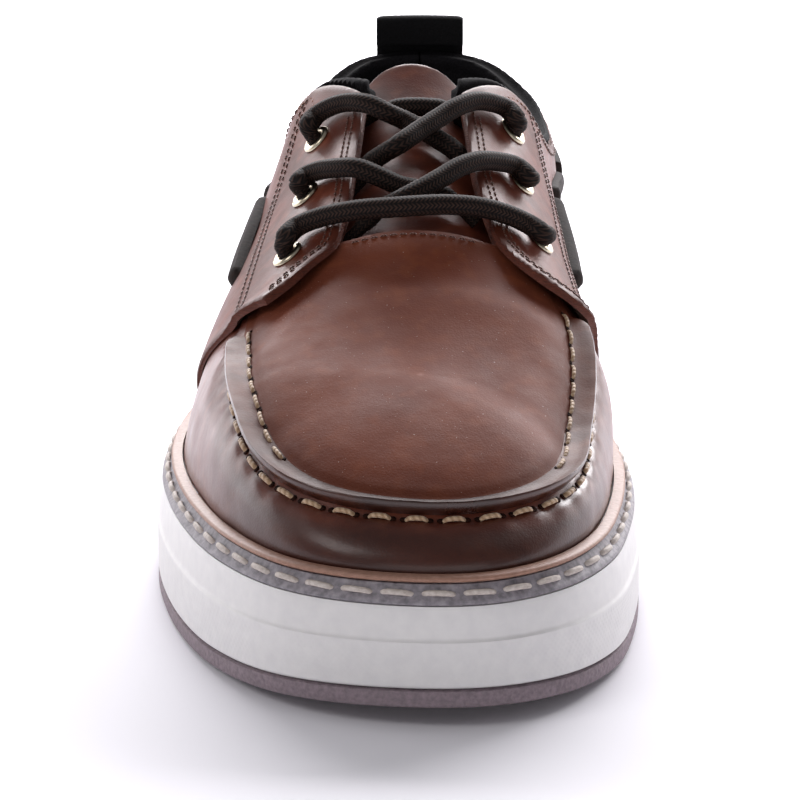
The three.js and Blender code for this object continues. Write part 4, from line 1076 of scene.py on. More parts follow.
# %% Make the upper
def make_upper():
    """Cut with three times as many columns in the front half, where the seams and creases are."""
    dense, coarse, split = 18, 6, 12
    front = np.arange(0, split * dense) / dense
    rear = split + np.arange(0, (STATIONS - 2 * split) * coarse) / coarse
    k_values = np.concatenate([front, rear, STATIONS - split + front])
    shares = np.concatenate([np.linspace(0, 1, 27)[:-1], np.linspace(1, 2, 42)])
    count = len(k_values)
    column = np.arange(count)
    partner = np.array([np.abs(np.mod(STATIONS - value, STATIONS) - k_values).argmin() for value in k_values])
    ids = np.arange(count * len(shares)).reshape(count, -1)
    ids[:, -1] = ids[np.minimum(column, partner), -1]
    border = lambda point: np.minimum(below_topline(point), throat(point))
    lift_in = lambda point, *_: creases(point) - LEATHER
    points, faces, part, depth, k, share = cut_leather(
        k_values, shares, border, vamp_lift, lift_in, closed=True, seam_ids=ids.ravel())
    foot = np.isclose(share, 0)
    gap = from_shoulder(k, share)
    # Painted shade, with some burnish: the toe's front, which faces away from the back light, and the grooves
    # on both sides of the toe seam get the near-black brown
    toe_front_shade = np.exp(-(signed_station(k) / 5.5) ** 4) * ease(-gap, 3.0, 9.0) * (1 - ease(-gap, 40, 60))
    ridge_groove_shade = 0.25 * np.exp(-((gap - 4) / 4) ** 2) + 0.5 * np.exp(-((gap + 3.5) / 1.6) ** 2)
    burnish_and_shade = 0.75 * toe_front_shade + ridge_groove_shade * front_half(k)
    depth = np.where(foot, 3.0, depth + 1.0)
    on_plug = (part == 0) & (gap[faces].min(1) > 0)
    part = np.where(on_plug, 3, part)
    piece("upper_skin", points, faces, [polished_leather, dyed_edge, lining_leather, plug_leather],
          "upper_leather", ["upper"], finish_index=part, values={"border": depth, "burnish_and_shade": burnish_and_shade})


make_upper()
print("upper:", made_triangles["upper_skin"])

# %% [markdown]
# ## Quarters with their lace flaps
# Each quarter is one cut of leather with a stay sewn on along the eyelets. The stay's line shows as a
# small step, and the flap's free front corner lifts off the vamp by a millimetre or two.

# %% The stay and the flap's corner
STAY_LINES = {
    "lateral": np.array([
        (-0.366, -0.19), (-0.355, -0.1625), (-0.329, -0.0676), (-0.3, 0.0331), (-0.272, 0.0814),
        (-0.2545, 0.1027), (-0.236, 0.118),
    ]),
    "medial": np.array([
        (0.336, -0.175), (0.325, -0.137), (0.3, -0.056), (0.281, 0.0456), (0.259, 0.1053), (0.246, 0.14),
    ]),
}
RAND_TOP, FLAP_THICKNESS, CORNER_LIFT = 5.396, 2.0, 2.1


def quarter_border(side):
    """Positive behind the flap's edge and the front line, over the rand and under the collar."""
    front = QUARTER_FRONT * (SOLE_LENGTH, INSTEP_RISE)
    line = np.vstack([[front[0, 0], 200], front, [front[-1, 0], -100]])

    def border(point):
        y, z = point[..., 1], point[..., 2]
        seen_from_side = np.stack([y, z - feather_height(y)], -1)
        ahead = -line_distance(seen_from_side, line)
        above_rand = z - wall_top(y) - RAND_TOP - GAP
        return np.minimum.reduce([behind_flap(point, side, 0.2), ahead, above_rand, below_topline(point)])

    return border


def flap_raise(point, side):
    """The free corner stands off the vamp: CORNER_LIFT at its front edge, hardly at all along the throat."""
    free = behind_flap(point, side, 0.2)
    front = 1 - ease(point[..., 1], -0.172 * SOLE_LENGTH, -0.125 * SOLE_LENGTH)
    return (0.12 + CORNER_LIFT * front) * (1 - ease(free, 0.0, 15.0)) * (point[..., 1] < 0.1 * SOLE_LENGTH)


def stay_step(point, side):
    """1 on the stay, 0 beyond its line, seen from above."""
    line = smooth_line(STAY_LINES[side] * (BALL_WIDTH, SOLE_LENGTH), 8)
    inside = line_distance(point[..., :2], line) * -SIDE[side]
    return ease(inside, -0.45, 0.45) * (1 - ease(point[..., 1], 0.11 * SOLE_LENGTH, 0.13 * SOLE_LENGTH))


def quarter_plain(point, side):
    """Height of the leather's face above the last, away from its cut edges."""
    return (GAP + OVERLAY - 0.25 + flap_raise(point, side) + 0.35 * stay_step(point, side)
            + 0.5 * creases(point))


def quarter_outer(side):
    """The plain face, rounded at its cut edges."""
    return lambda point, depth, *_: quarter_plain(point, side) - rounded(depth, 0.45)


def quarter_inner(side):
    """The flap is 2 mm thick; where it lies on the vamp its back stays just above the vamp."""
    return lambda point, *_: np.maximum(
        quarter_plain(point, side) - FLAP_THICKNESS, GAP + 0.5 * creases(point))


# %% Make the quarters
def side_stations(side, start_at, past_heel, per):
    """Stations of one side, from a share of the length to a little past the heel's middle."""
    start, end = float(station_at(start_at * SOLE_LENGTH, -1)), HALF + past_heel
    k_values = np.linspace(start, end, int((end - start) * per))
    return k_values if side == "lateral" else STATIONS - k_values[::-1]


def make_quarter(side):
    """One side's leather, from the flap's front corner to the seam at the heel."""
    k_values = side_stations(side, -0.215, 0.12, 17)
    shares = np.concatenate([np.linspace(0, 1, 48)[:-1], np.linspace(1, 2, 44)])
    points, faces, part, depth, *_ = cut_leather(
        k_values, shares, quarter_border(side), quarter_outer(side), quarter_inner(side))
    piece(f"quarter_{side}_leather", points, faces, [flap_leather, dyed_edge, lining_leather],
          "upper_leather", [f"quarter_{side}"], finish_index=part,
          values={"border": depth, "burnish_and_shade": 0 * depth})


make_quarter("lateral")
make_quarter("medial")
print("quarters:", {name: count for name, count in made_triangles.items() if "quarter" in name})



def over_leather(x, y, side):
    """Skin of the quarter at a place seen from above, and its direction."""
    point, normal = over_top(x, y)
    lift = quarter_outer(side)(point, np.full(np.shape(x), FAR_INSIDE))
    return point + normal * lift[..., None], normal


# %% [markdown]
# ## Tongue and collar
# The tongue is a soft slip of the same leather, pressed down by the laces, with a domed end. The collar
# is a padded roll of black cloth, quilted in ribs, that stands 3 mm above the leather.


# %% Tongue
def make_tongue():
    """Rows along the shoe, columns across it; the skin follows the last, sunk where the laces press."""
    line = smooth_line(TONGUE_OUTLINE * (TONGUE_HALF_WIDTH, SOLE_LENGTH), 8)
    tip = TONGUE_OUTLINE[-1, 1] * SOLE_LENGTH
    finer_from = 0.06 * SOLE_LENGTH
    y_rows = np.concatenate([np.linspace(line[0, 1], finer_from, 64)[:-1], np.linspace(finer_from, tip, 26)])
    half = np.interp(y_rows, line[:, 1], line[:, 0])
    half = np.maximum(half, 4)
    t = np.sin(np.linspace(-1, 1, 61) * math.pi / 2)
    x = crest_across(0.0) + t[None] * half[:, None]
    y = np.repeat(y_rows[:, None], len(t), 1)
    point, normal = over_top(x, y)
    press = ease(y, -0.15 * SOLE_LENGTH, -0.11 * SOLE_LENGTH) * TONGUE_SINK
    edge = np.minimum((1 - np.abs(t))[None] * half[:, None], (tip - y) + 0.2)
    waves = 0.25 * np.sin(y * 0.21 + 0.05 * x) * ease(y, 0, 20)
    waves = waves + 0.35 * np.exp(-((y + 5) / 7) ** 2) * np.cos(x * 0.12)
    outer = -LEATHER - GAP - press + waves - rounded(edge, 0.9)
    inner = -LEATHER - GAP - TONGUE - press + waves + rounded(edge, 0.6)
    top, under = point + normal * outer[..., None], point + normal * inner[..., None]
    rows, columns = y.shape
    faces, _ = grid_faces(rows, columns)
    count = rows * columns
    rim = np.concatenate([np.arange(columns), np.arange(1, rows) * columns + columns - 1,
                          count - 2 - np.arange(columns - 1), (np.arange(rows - 2, 0, -1)) * columns])
    nxt = np.roll(rim, -1)
    wall = np.stack([rim, nxt, nxt + count, rim + count], 1)
    all_faces = np.vstack([faces, wall, faces[:, ::-1] + count])
    part = np.repeat([0, 1, 0], [len(faces), len(wall), len(faces)])
    depth = np.tile(edge.ravel() + 1.0, 2)
    piece("tongue_leather", np.vstack([top.reshape(-1, 3), under.reshape(-1, 3)]), all_faces,
          [flap_leather, dyed_edge], "upper_leather", ["tongue"], finish_index=part,
          values={"border": depth, "burnish_and_shade": 0 * depth})


make_tongue()


# %% Padded collar
COLLAR_PROUD, COLLAR_START, RIB_PITCH = 3.0, 0.047, 1.6


def make_collar(side):
    """The roll bulges over the leather's edge and has fine ribs across it; inside, broad quilted ones. The
    length along the collar is near enough 1.1 times that along the shoe."""
    k_values = side_stations(side, 0.03, 0.05, 12)
    shares = np.linspace(0.35, 2, 120)

    def border(point):
        return np.minimum.reduce([
            behind_flap(point, side, 0.0), below_topline(point, COLLAR_PROUD),
            -below_topline(point, -LINING_DEPTH), point[..., 1] - COLLAR_START * SOLE_LENGTH])

    def outer(point, depth, *_):
        over = ease(-below_topline(point), 0.2, 1.2)
        rib = 0.25 * np.abs(np.sin(math.pi * 1.1 * point[..., 1] / RIB_PITCH))
        return -LEATHER - GAP - 0.1 + (LEATHER + 1.2 - rib) * over - 0.8 * rounded(depth, 1.5)

    def inner(point, depth, *_):
        down = below_topline(point, COLLAR_PROUD)
        rib = 0.35 * np.abs(np.sin(math.pi * down / 4.2))
        return -LEATHER - GAP - LINING - rib + rounded(depth, 1.6)

    return cut_leather(k_values, shares, border, outer, inner, bulge=0.7, wall_steps=4)[:2]


def joined(parts):
    """Several meshes as one: their points in a row, their faces counted on."""
    offset, points, faces = 0, [], []
    for p, f in parts:
        points.append(p)
        faces.append(f + offset)
        offset += len(p)
    return np.vstack(points), np.vstack(faces)


piece("collar_roll", *joined([make_collar("lateral"), make_collar("medial")]), lining_cloth, "collar_fabric",
      ["collar_lining"], sharp=60)
print("collar:", made_triangles["collar_roll"])

# %% [markdown]
# ## Toe seam
# Plug and side wall are drawn together over the shoulder of the last and sewn by hand, so their edges
# stand up as one lip. Its outer face is glossy, its inner face matt, and the top edge is crisp.


# %% Ridge
def ridge_ends():
    """The stations, medial and lateral, where the ridge ends 1.2 mm in front of the flaps."""
    at_flap = {side: FLAPS[side][:2, 1].min() * SOLE_LENGTH - 1.2 for side in SIDE}
    return -float(station_at(at_flap["medial"], -1)), float(station_at(at_flap["lateral"], -1))


RIDGE_PROFILE = np.array([
    (-0.5, 0.0), (-0.5, 0.25), (-0.49, 0.55), (-0.45, 0.8), (-0.38, 0.95), (-0.31, 1.02), (-0.27, 1.03),
    (-0.23, 0.98), (-0.1, 0.72), (0.06, 0.42), (0.24, 0.16), (0.4, 0.03), (0.5, -0.03), (0.0, -0.06),
])
RIDGE_CREST = 6


def length_per_share(k, share):
    """Millimetres up the last's surface for a share of 1, from the points 0.01 below and above."""
    step = on_last(k, share + 0.01)[0] - on_last(k, share - 0.01)[0]
    return np.linalg.norm(step, axis=-1) / 0.02


def make_ridge():
    """The profile's two lengths run along the surface and out of it; its end tapers over 4 mm."""
    medial_end, lateral_end = ridge_ends()
    k = np.linspace(medial_end, lateral_end, 420)
    run = run_round(k)
    taper = np.minimum(ease(run - run[0], -2.5, 4), ease(run[-1] - run, -2.5, 4))
    tall = RIDGE_HEIGHT * (0.35 + 0.65 * taper) * (1 + 0.012 * np.sin(run * 2 * math.pi / STITCH_PITCH))
    wide = RIDGE_WIDTH * (0.75 + 0.25 * taper)
    speed = length_per_share(k, np.ones_like(k))
    rings = []
    for across, height in RIDGE_PROFILE:
        base, base_normal = on_last(k, 1 + across * wide / speed)
        lift = height * tall - 0.35 + 0.35 * np.clip(height, 0, 1)
        rings.append(base + base_normal * lift[:, None])
    rings = np.array(rings).transpose(1, 0, 2)
    count, sides = rings.shape[:2]
    points, faces = tube(rings)
    row = np.arange(sides)
    inner_face = np.tile((row >= RIDGE_CREST) & (row < sides - 2), count - 1)
    inner_face = np.concatenate([inner_face, inner_face, np.zeros(2 * sides, bool)])[:len(faces)]
    # Painted shade, with some burnish: the ridge's middle at the toe's front gets more of the near-black
    # brown than its arms
    middle = np.repeat(np.exp(-(run / 38) ** 4), sides)
    burnish_and_shade = np.append(np.clip(0.1 + 0.6 * middle, 0, 1), [0.5, 0.5])
    piece("toe_ridge_lip", points, faces, [burnished_leather, ridge_edge], "seam_leather", ["toe_ridge"],
          sharp=32, finish_index=inner_face,
          values={"border": np.full(len(points), 4.0), "burnish_and_shade": burnish_and_shade})


make_ridge()

# %% [markdown]
# ## Laces, eyelets and side lace
# The lace is a round braid 4.9 mm thick. It runs over the flap and down into the eyelet, so its route
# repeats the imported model's points and adds three more that dive through the bore. Its hidden ends run
# on under the flaps. The herringbone of the braid is real relief: V-shaped ridges in eight columns.

# %% Eyelets
EYELETS = {
    ("lateral", 1): (-0.2547, -0.1219), ("lateral", 2): (-0.2257, -0.0413), ("lateral", 3): (-0.21, 0.0423),
    ("medial", 1): (0.2421, -0.0928), ("medial", 2): (0.2096, -0.0135), ("medial", 3): (0.1961, 0.0574),
}
EYELET_SECTION = np.array([
    (EYELET_BORE, -1.7), (2.55, -1.7), (2.6, 1.9), (3.9, 1.95), (4.0, 2.15), (3.85, 2.45),
    (3.5, 2.68), (3.05, 2.78), (2.6, 2.7), (2.3, 2.45), (2.15, 2.0), (EYELET_BORE, 1.0),
])


def make_eyelets():
    """A turned section: each point goes round the hole's axis at its own radius and height."""
    turn = np.linspace(0, 2 * math.pi, 40, endpoint=False)
    for (side, row), (across, at) in EYELETS.items():
        x, y = np.array(across * BALL_WIDTH), np.array(at * SOLE_LENGTH)
        point, normal = over_top(x, y)
        lift = quarter_outer(side)(point, np.array(FAR_INSIDE)) - GAP - OVERLAY
        forward = unit(np.cross(normal, (1.0, 0.0, 0.0)))
        right = np.cross(forward, normal)
        r, h = EYELET_SECTION[:, 0, None], EYELET_SECTION[:, 1, None] + lift - 0.05
        rings = (point + (r * np.cos(turn))[..., None] * right + (r * np.sin(turn))[..., None] * forward
                 + np.broadcast_to(h, (len(r), len(turn)))[..., None] * normal)
        faces, _ = grid_faces(len(r), len(turn), closed_rows=True, closed_columns=True)
        piece(f"eyelet_ring_{side}_{row}", rings.reshape(-1, 3), faces, eyelet_brass, "eyelet_nickel",
              [f"eyelet_{side}_{row}"], sharp=50)


make_eyelets()

# %% Laces
LACES = {
    "lace_bar": [[
        (-0.24, -0.1232, 1.2), (-0.223, -0.1108, 1.06), (-0.184, -0.1139, 1), (-0.115, -0.1228, 1),
        (-0.032, -0.1279, 1), (0.054, -0.1228, 1), (0.117, -0.1159, 1), (0.17, -0.1098, 1),
        (0.205, -0.1078, 1.06), (0.226, -0.1124, 1.2),
    ]],
    "lace_cross_lower": [
        [(-0.218, -0.045, 1.2), (-0.208, -0.0359, 1.06), (-0.186, -0.0411, 1.02), (-0.1465, -0.0555, 1),
         (-0.113, -0.0652, 0.93), (-0.079, -0.0712, 0.4), (-0.036, -0.0748, -0.2), (0.011, -0.0778, -0.34),
         (0.059, -0.0806, -0.4), (0.1, -0.085, -0.6), (0.14, -0.088, -0.9)],
        [(0.202, -0.0285, 1.2), (0.182, -0.0219, 1.06), (0.146, -0.0349, 1), (0.111, -0.0499, 1),
         (0.079, -0.0648, 0.88), (0.046, -0.0808, 0.66), (0.012, -0.0941, 0.52), (-0.0245, -0.103, 0.34),
         (-0.056, -0.1014, -0.06), (-0.091, -0.0981, -0.4), (-0.13, -0.108, -0.7), (-0.17, -0.113, -0.95)],
    ],
    "lace_cross_upper": [
        [(-0.204, 0.0433, 1.2), (-0.197, 0.0547, 1.06), (-0.1715, 0.0518, 1.02), (-0.136, 0.0427, 1),
         (-0.095, 0.0283, 0.93), (-0.064, 0.0212, 0.45), (-0.031, 0.0216, -0.15), (0.015, 0.0116, -0.34),
         (0.051, 0.0021, -0.38), (0.083, -0.0051, -0.4), (0.12, -0.009, -0.7), (0.16, -0.011, -0.95)],
        [(0.181, 0.0494, 1.2), (0.1685, 0.0595, 1.06), (0.135, 0.0515, 1.01), (0.104, 0.0406, 1),
         (0.0705, 0.0238, 0.9), (0.039, 0.0072, 0.66), (0.0015, -0.0117, 0.48), (-0.042, -0.0311, 0.34),
         (-0.0745, -0.0284, -0.08), (-0.105, -0.0267, -0.4), (-0.13, -0.036, -0.7), (-0.17, -0.04, -0.95)],
    ],
    "lace_tuck": [[
        (-0.13, 0.05, -0.8), (-0.1, 0.047, -0.6), (-0.071, 0.0459, -0.5), (-0.042, 0.0456, -0.51),
        (-0.006, 0.046, -0.51), (0.032, 0.0475, -0.51), (0.07, 0.0502, -0.5), (0.1, 0.052, -0.6),
        (0.13, 0.055, -0.8),
    ]],
}
# Which eyelets a stretch dives into at its first and last point
DIVES = {
    ("lace_bar", 0): (("lateral", 1), ("medial", 1)), ("lace_cross_lower", 0): (("lateral", 2), None),
    ("lace_cross_lower", 1): (("medial", 2), None), ("lace_cross_upper", 0): (("lateral", 3), None),
    ("lace_cross_upper", 1): (("medial", 3), None), ("lace_tuck", 0): (None, None),
}


def lifted(rows):
    """Rows of across, at and height: places over the last's top; at height 1 a cord lies on a flap."""
    rows = np.asarray(rows)
    point, normal = over_top(rows[:, 0] * BALL_WIDTH, rows[:, 1] * SOLE_LENGTH)
    return point + normal * (rows[:, 2] * OVER_FLAP)[:, None]


def dive(eyelet):
    """Points from over the eyelet's rim down through its bore."""
    across, at = EYELETS[eyelet]
    return lifted([(across, at, 0.72), (across, at, 0.2), (across, at, -0.45)])


def even_path(points, spacing):
    """The smooth line through points, read again at equal steps of length."""
    line = smooth_line(points, 24)
    run = np.concatenate([[0], np.cumsum(np.linalg.norm(np.diff(line, axis=0), axis=1))])
    steps = np.linspace(0, run[-1], max(4, int(run[-1] / spacing)))
    return np.stack([np.interp(steps, run, line[:, c]) for c in range(3)], 1), steps


def path_frame(path, guide):
    """Two directions across the path: sideways is the path crossed with the guide, up completes them."""
    direction = unit(np.gradient(path, axis=0))
    sideways = unit(np.cross(direction, guide))
    return sideways, np.cross(sideways, direction)


BRAID_PITCH, CORD_SIDES, DIVE_LENGTH = 0.95, 64, (4.5, 9.5)
# Shares of its radius that the cord loses at an end
IN_BORE, UNDER_FLAP = 0.24, 0.4


def braid_relief(around, length):
    """Herringbone: V ridges BRAID_PITCH apart in eight columns, with a shallow groove between them."""
    column = around * 8
    zigzag = np.abs(2 * np.mod(column, 1) - 1)
    ridge = 0.5 + 0.5 * np.cos(2 * math.pi * (length / BRAID_PITCH + 0.9 * zigzag))
    between = np.abs(np.sin(math.pi * column)) ** 0.5
    return ridge * (0.3 + 0.7 * between)


def cord(name, index, rows):
    """Sweeps the braid; it is squeezed in a bore, and thinner where its hidden end lies under a flap."""
    first, last = DIVES[(name, index)]
    points = lifted(rows)
    if first:
        points = np.vstack([dive(first)[::-1], points])
    if last:
        points = np.vstack([points, dive(last)])
    path, run = even_path(points, 0.19)
    sideways, up = path_frame(path, unit(np.array([0.0, -0.25, 1.0])))
    around = np.linspace(0, 1, CORD_SIDES, endpoint=False)[None]
    near_start = (1 - ease(run, *DIVE_LENGTH)) * (IN_BORE if first else UNDER_FLAP)
    near_end = (1 - ease(run[-1] - run, *DIVE_LENGTH)) * (IN_BORE if last else UNDER_FLAP)
    relief = braid_relief(around, run[:, None] + 2.0 * index)
    r = (LACE_RADIUS - 0.1) * (1 - np.maximum(near_start, near_end))[:, None] + 0.15 * relief
    profile = np.stack([1.06 * r * np.cos(2 * math.pi * around), 0.94 * r * np.sin(2 * math.pi * around)], -1)
    print(name, index + 1, "length", run[-1].round(1))
    return *sweep(path, sideways, up, profile), np.append(relief.ravel(), [0.0, 0.0])


for lace_name, routes in LACES.items():
    parts = [cord(lace_name, index, rows) for index, rows in enumerate(routes)]
    piece(lace_name + "_braid", *joined([part[:2] for part in parts]), braid_cotton, "lace_cotton",
          [lace_name], sharp=0, values={"relief": np.concatenate([part[2] for part in parts])})
print("laces:", {name: count for name, count in made_triangles.items() if "braid" in name})

# %% Side lace
# Start and its rise, end and its rise, as shares of length and instep, and the bow in millimetres
THONGS = [
    (-0.035, 0.43, 0.105, 0.585, 3.2), (0.15, 0.575, 0.265, 0.535, 1.0), (0.305, 0.535, 0.355, 0.56, 0.8),
]
THONG_SECTION = np.array([
    (-0.5, -0.35), (-0.47, 0.1), (-0.36, 0.4), (-0.15, 0.5), (0.15, 0.5),
    (0.36, 0.4), (0.47, 0.1), (0.5, -0.35), (0.0, -0.5),
])


def make_thong(side, number, start, start_rise, end, end_rise, bow):
    """A flat strap: between its two slots it stands off the quarter by a sine, and both ends sink in."""
    t = np.linspace(-0.08, 1.08, 90)
    y = (start + (end - start) * t) * SOLE_LENGTH
    z = feather_height(y) + (start_rise + (end_rise - start_rise) * t) * INSTEP_RISE
    stand = OVERLAY + SEAT + THONG_THICKNESS / 2 - 1.5
    point, normal = on_side(y, SIDE[side], z)
    reach = (0.3 * bow if side == "lateral" else bow / 8) * np.sin(math.pi * np.clip(t, 0, 1))
    sink = 3.6 * (1 - ease(np.minimum(t, 1 - t), -0.08, 0.06))
    path = point + normal * (stand + reach - sink)[:, None]
    direction = unit(np.gradient(path, axis=0))
    rise = unit(np.cross(direction, normal))
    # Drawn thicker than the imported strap, so that its edge shows from the front
    section = THONG_SECTION * (THONG_WIDTH, 1.4 * THONG_THICKNESS)
    profile = np.broadcast_to(section, (len(path), *section.shape))
    piece(f"thong_{side}_{number}", *sweep(path, rise, normal, profile), thong_leather, "thong_leather",
          [f"side_lace_{side}_{number}"])


for number, thong_row in enumerate(THONGS, 1):
    for side in SIDE:
        make_thong(side, number, *thong_row)

# %% [markdown]
# ## Pull loop
# A loop of black webbing is folded over the heel and sewn down the back. Its path is seen from the side
# and bent round the heel.


# %% Webbing loop
def heel_round(x):
    """How far the heel curves forward at a distance from its middle."""
    k = np.linspace(HALF - HEEL_FAN, HALF + HEEL_FAN, 200)
    back_line = on_last(k, np.full_like(k, 0.9))[0]
    return back_line[:, 1].max() - np.interp(x, back_line[:, 0], back_line[:, 1])


def back_at(z, lift):
    """Place on the heel's middle line at a height, lifted off the last."""
    k = np.full(np.shape(z), float(HALF))
    share = find_share(k, 0.0, 1.6, lambda point: z - point[..., 2])
    point, normal = on_last(k, share)
    return point + normal * lift


def make_pull_loop():
    """Tail up the heel, a half circle over the collar, a short foot inside; it bends round the heel."""
    top = float(topline(TOPLINE[-1, 0] * SOLE_LENGTH))
    lift = OVERLAY + SEAT + WEBBING / 2
    tail_z = np.linspace(top - TAB_TAIL, top, 8)
    tail = back_at(tail_z, lift)[:, 1:]
    collar_y = float(back_at(np.array([top]), 0.0)[0, 1])
    behind, front = collar_y + OVERLAY + SEAT, collar_y - LEATHER + 0.2
    half = (behind - front) / 2
    turn = np.linspace(0, math.pi, 18)
    crown = top + TAB_RISE - half - WEBBING
    middle, radius = np.array([(behind + front) / 2, crown]), half + WEBBING / 2
    bow = middle + radius * np.stack([np.cos(turn), np.sin(turn)], 1)
    foot = np.array([[front - WEBBING / 2, top + LINING_PROUD + GAP + step] for step in (1, 0)])
    path = smooth_line(np.vstack([tail, bow, foot]), 3)
    direction = unit(np.gradient(path, axis=0))
    out = np.stack([direction[:, 1], -direction[:, 0]], 1)
    across = np.linspace(-0.5, 0.5, 27) * TAB_WIDTH
    skins = []
    for side in (1, -1):
        thick = side * WEBBING / 2 * np.sqrt(np.clip(1 - (np.abs(across) / (TAB_WIDTH / 2)) ** 12, 0.05, 1))
        yz = path[:, None] + out[:, None] * thick[None, :, None]
        x = np.broadcast_to(across, yz.shape[:2])
        skins.append(np.stack([x, yz[..., 0] - heel_round(x), yz[..., 1]], -1))
    section = np.concatenate([skins[0], skins[1][:, ::-1]], 1)
    piece("pull_loop", *tube(section), tab_webbing, "tab_webbing", ["pull_tab"], sharp=60)


make_pull_loop()

# %% [markdown]
# ## Stitches
# A stitch is a short length of thread that comes out of one hole, lies on the leather and dives into
# the next. The rows of a seam are one mesh: a small tube repeated along lines, bent at both ends.


# %% A row of stitches
def stitch_row(path, normal, pitch, length, thick, slant=0.0):
    """As many equal steps as fit the path; each tube stands up by a flat arch and thins at its ends. A tube
    has nine rings of eight points, numbered 0 to 71, and its two end points are 72 and 73."""
    run = np.concatenate([[0], np.cumsum(np.linalg.norm(np.diff(path, axis=0), axis=1))])
    count = max(1, round(run[-1] / pitch))
    centre = (np.arange(count) + 0.5) * run[-1] / count
    t = np.linspace(-1, 1, 9)
    s = np.clip(centre[:, None] + t * length / 2, 0, run[-1])
    read = lambda values: np.stack([np.interp(s, run, values[:, c]) for c in range(3)], -1)
    point, up = read(path), unit(read(normal))
    forward = unit(read(unit(np.gradient(path, axis=0))))
    sideways = unit(np.cross(forward, up))
    arch = thick * (0.42 - 0.95 * np.abs(t) ** 3.5)
    middle = point + up * arch[:, None] + sideways * (slant * t)[:, None]
    radius = (thick / 2 * (1 - 0.35 * np.abs(t) ** 4))[:, None, None]
    turn = np.linspace(0, 2 * math.pi, 8, endpoint=False)[:, None]
    rings = middle[:, :, None] + radius * (
        np.cos(turn) * sideways[:, :, None] + 0.85 * np.sin(turn) * up[:, :, None])
    faces, corners = grid_faces(9, 8, closed_columns=True)
    j = np.arange(8)
    caps = np.vstack([np.stack([np.full(8, 72), j, (j + 1) % 8], 1),
                      np.stack([np.full(8, 73), 64 + (j + 1) % 8, 64 + j], 1)])
    one = np.vstack([faces[:, [0, 1, 2]], faces[:, [0, 2, 3]], caps])
    uv_of = lambda c: np.stack([c[..., 1] / 8, (c[..., 0] / 8) * length], -1)
    uv_one = np.vstack([uv_of(corners[:, [0, 1, 2]]), uv_of(corners[:, [0, 2, 3]]), np.zeros((16, 3, 2))])
    points = np.concatenate([rings.reshape(count, 72, 3), middle[:, :1], middle[:, -1:]], 1)
    all_faces = (one[None] + (np.arange(count) * 74)[:, None, None]).reshape(-1, 3)
    ends = np.concatenate([point[:, 0], point[:, -1]]), np.concatenate([up[:, 0], up[:, -1]])
    return points.reshape(-1, 3), all_faces, np.tile(uv_one, (count, 1, 1)), ends


def thread_piece(name, rows, finish):
    """Several rows of stitches as one piece."""
    uv = np.vstack([row[2] for row in rows])
    piece(name, *joined([row[:2] for row in rows]), finish, "stitch_thread", sharp=0, uv=uv)


def hole_piece(name, places, size):
    """Needle holes: flat dark lenses on the leather at the stitches' ends."""
    where, up = (np.vstack(group) for group in zip(*places))
    side = unit(np.cross(up, (0.31, 0.92, 0.2)))
    other = np.cross(up, side)
    turn = np.linspace(0, 2 * math.pi, 8, endpoint=False)[:, None]
    rim = where[:, None] + size / 2 * (np.cos(turn) * side[:, None] + np.sin(turn) * other[:, None])
    points = np.concatenate([rim, (where + up * 0.1)[:, None], (where - up * 0.15)[:, None]], 1)
    j = np.arange(8)
    one = np.vstack([np.stack([np.full(8, 8), j, (j + 1) % 8], 1),
                     np.stack([np.full(8, 9), (j + 1) % 8, j], 1)])
    faces = (one[None] + (np.arange(len(where)) * 10)[:, None, None]).reshape(-1, 3)
    piece(name, points.reshape(-1, 3), faces, needle_hole, "seam_leather", sharp=0)


# %% Toe seam rows
def seam_line(distance, lift, start=-1.0, end=1.0):
    """A line beside the ridge, at a distance from the shoulder measured on the surface. Start and end are
    shares of the ridge's two arms, from the medial end (-1) over the toe (0) to the lateral one (1)."""
    medial_end, lateral_end = ridge_ends()
    k = np.interp(np.linspace(start, end, 900), (-1, 0, 1), (medial_end, 0, lateral_end))
    speed = length_per_share(k, np.ones_like(k))
    share = 1 + distance / speed
    for _ in range(3):
        share += (distance - from_shoulder(k, share)) / speed
    point, normal = on_last(k, share)
    lift_here = vamp_lift(point, np.full(len(k), FAR_INSIDE), k, share) + lift
    return point + normal * lift_here[:, None], normal


outer_row = stitch_row(*seam_line(-3.3, 0.2), STITCH_PITCH, 5.3, 1.15)
inner_rows = [stitch_row(*seam_line(2.5, 0.12, *span), STITCH_PITCH * 0.9, 5.9, 0.95)
              for span in ((-1.0, -0.4), (0.4, 1.0))]
thread_piece("toe_seam_thread", [outer_row, *inner_rows], cream_thread)
hole_piece("toe_seam_holes", [row[3] for row in (outer_row, *inner_rows)], 1.5)


# %% Welt stitches
def welt_line():
    """A closed line on the welt's slope, with the slope's outward direction."""
    at = sole_columns(20)
    edge = ring(at, -2.85, wall_top(at["foot"][:, 1]) + 2.25)
    normal = unit(np.column_stack([at["out"] * 0.78, np.full(len(edge), 0.62)]))
    closed = np.vstack([edge, edge[:1]])
    return closed, np.vstack([normal, normal[:1]])


welt_path, welt_normal = welt_line()
welt_row = stitch_row(welt_path, welt_normal, 8.2, 7.3, 1.25, slant=0.12)
thread_piece("welt_thread", [welt_row], pale_thread)


# %% Fine rows on the flaps, round the collar and beside the throat
def inside_line(line, distance, side, clear=None):
    """A line moved into the quarter; places nearer to its border than clear are left out."""
    run = unit(np.gradient(line, axis=0))
    moved = line + distance * np.stack([run[:, 1], -run[:, 0]], 1) * SIDE[side]
    point, _ = over_top(moved[:, 0], moved[:, 1])
    return moved[quarter_border(side)(point) > (distance - 0.25 if clear is None else clear)]


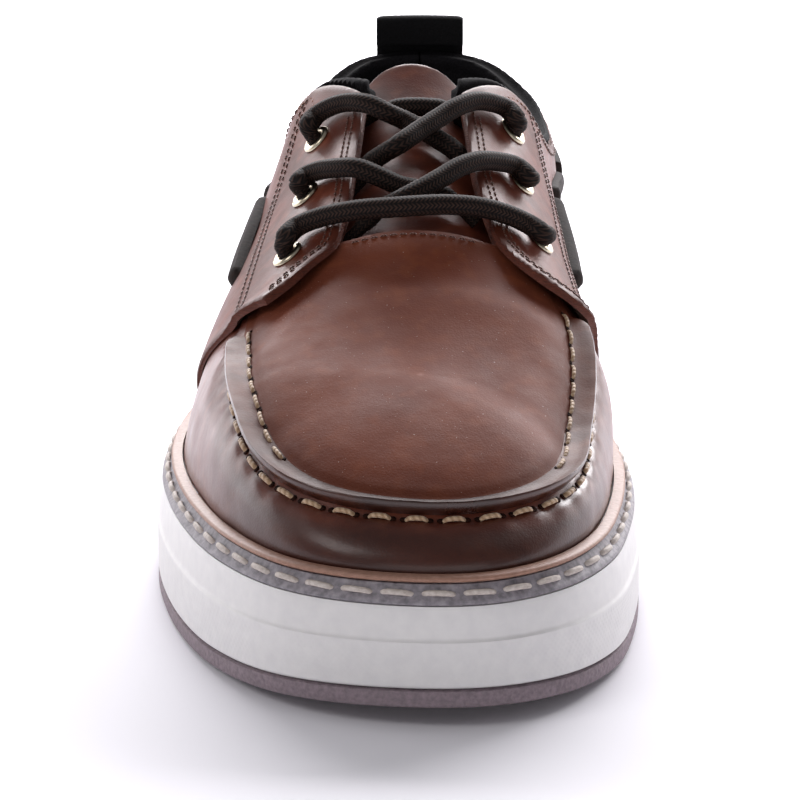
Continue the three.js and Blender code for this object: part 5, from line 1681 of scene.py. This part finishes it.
def quarter_row(line, side, pitch, length, thick):
    """A row of stitches on the quarter's face along a line seen from above."""
    point, normal = over_leather(line[:, 0], line[:, 1], side)
    return stitch_row(point + normal * 0.05, normal, pitch, length, thick)


# Step, length and thickness of a machine stitch, in millimetres
FINE = (2.3, 1.8, 0.42)
fine_rows = []
for side in SIDE:
    edge = flap_line(side, steps=16)
    fine_rows += [quarter_row(inside_line(edge, by, side), side, *FINE) for by in (2.0, 3.3)]
    stay = smooth_line(STAY_LINES[side] * (BALL_WIDTH, SOLE_LENGTH), 24)
    fine_rows += [quarter_row(inside_line(stay, by, side, 2.5), side, *FINE) for by in (1.4, -0.8)]
thread_piece("flap_thread", fine_rows, brown_thread)


def collar_row(drop, side):
    """A row that follows the collar's line at a depth below it."""
    y = np.linspace(0.13 * SOLE_LENGTH, HEEL_CENTRE, 160)
    point, normal = on_side(y, SIDE[side], topline(y) - drop)
    return stitch_row(point + normal * (GAP + OVERLAY - 0.2), normal, 2.9, 2.3, 0.5)


thread_piece("collar_thread", [collar_row(2.6, side) for side in SIDE], brown_thread)


def flap_top_row(side):
    """Amber stitches that turn round the top corner of a flap, 3 mm under the collar."""
    y = np.linspace(0.062 * SOLE_LENGTH, 0.128 * SOLE_LENGTH, 60)
    point, normal = on_side(y, SIDE[side], topline(y) - 3.0)
    return stitch_row(point + normal * (GAP + OVERLAY - 0.1), normal, *FINE)


def throat_row():
    """A fine row on the vamp, 1.8 mm in front of the edge of the lacing's opening."""
    x = np.linspace(-0.135, 0.12, 60) * BALL_WIDTH
    y = (THROAT_AT + 2 * THROAT_BOW * (x / BALL_WIDTH) ** 2) * SOLE_LENGTH - 1.8
    point, normal = over_top(x, y)
    return stitch_row(point + normal * 0.05, normal, 2.3, 1.8, 0.4)


thread_piece("flap_top_thread", [flap_top_row(side) for side in SIDE], amber_thread)
thread_piece("throat_thread", [throat_row()], brown_thread)
print("threads:", {name: count for name, count in made_triangles.items() if "thread" in name})

# %% [markdown]
# ## Triangle count
# The number of triangles of all the pieces made is printed.

# %% Triangle count
print("triangles:", sum(made_triangles.values()))
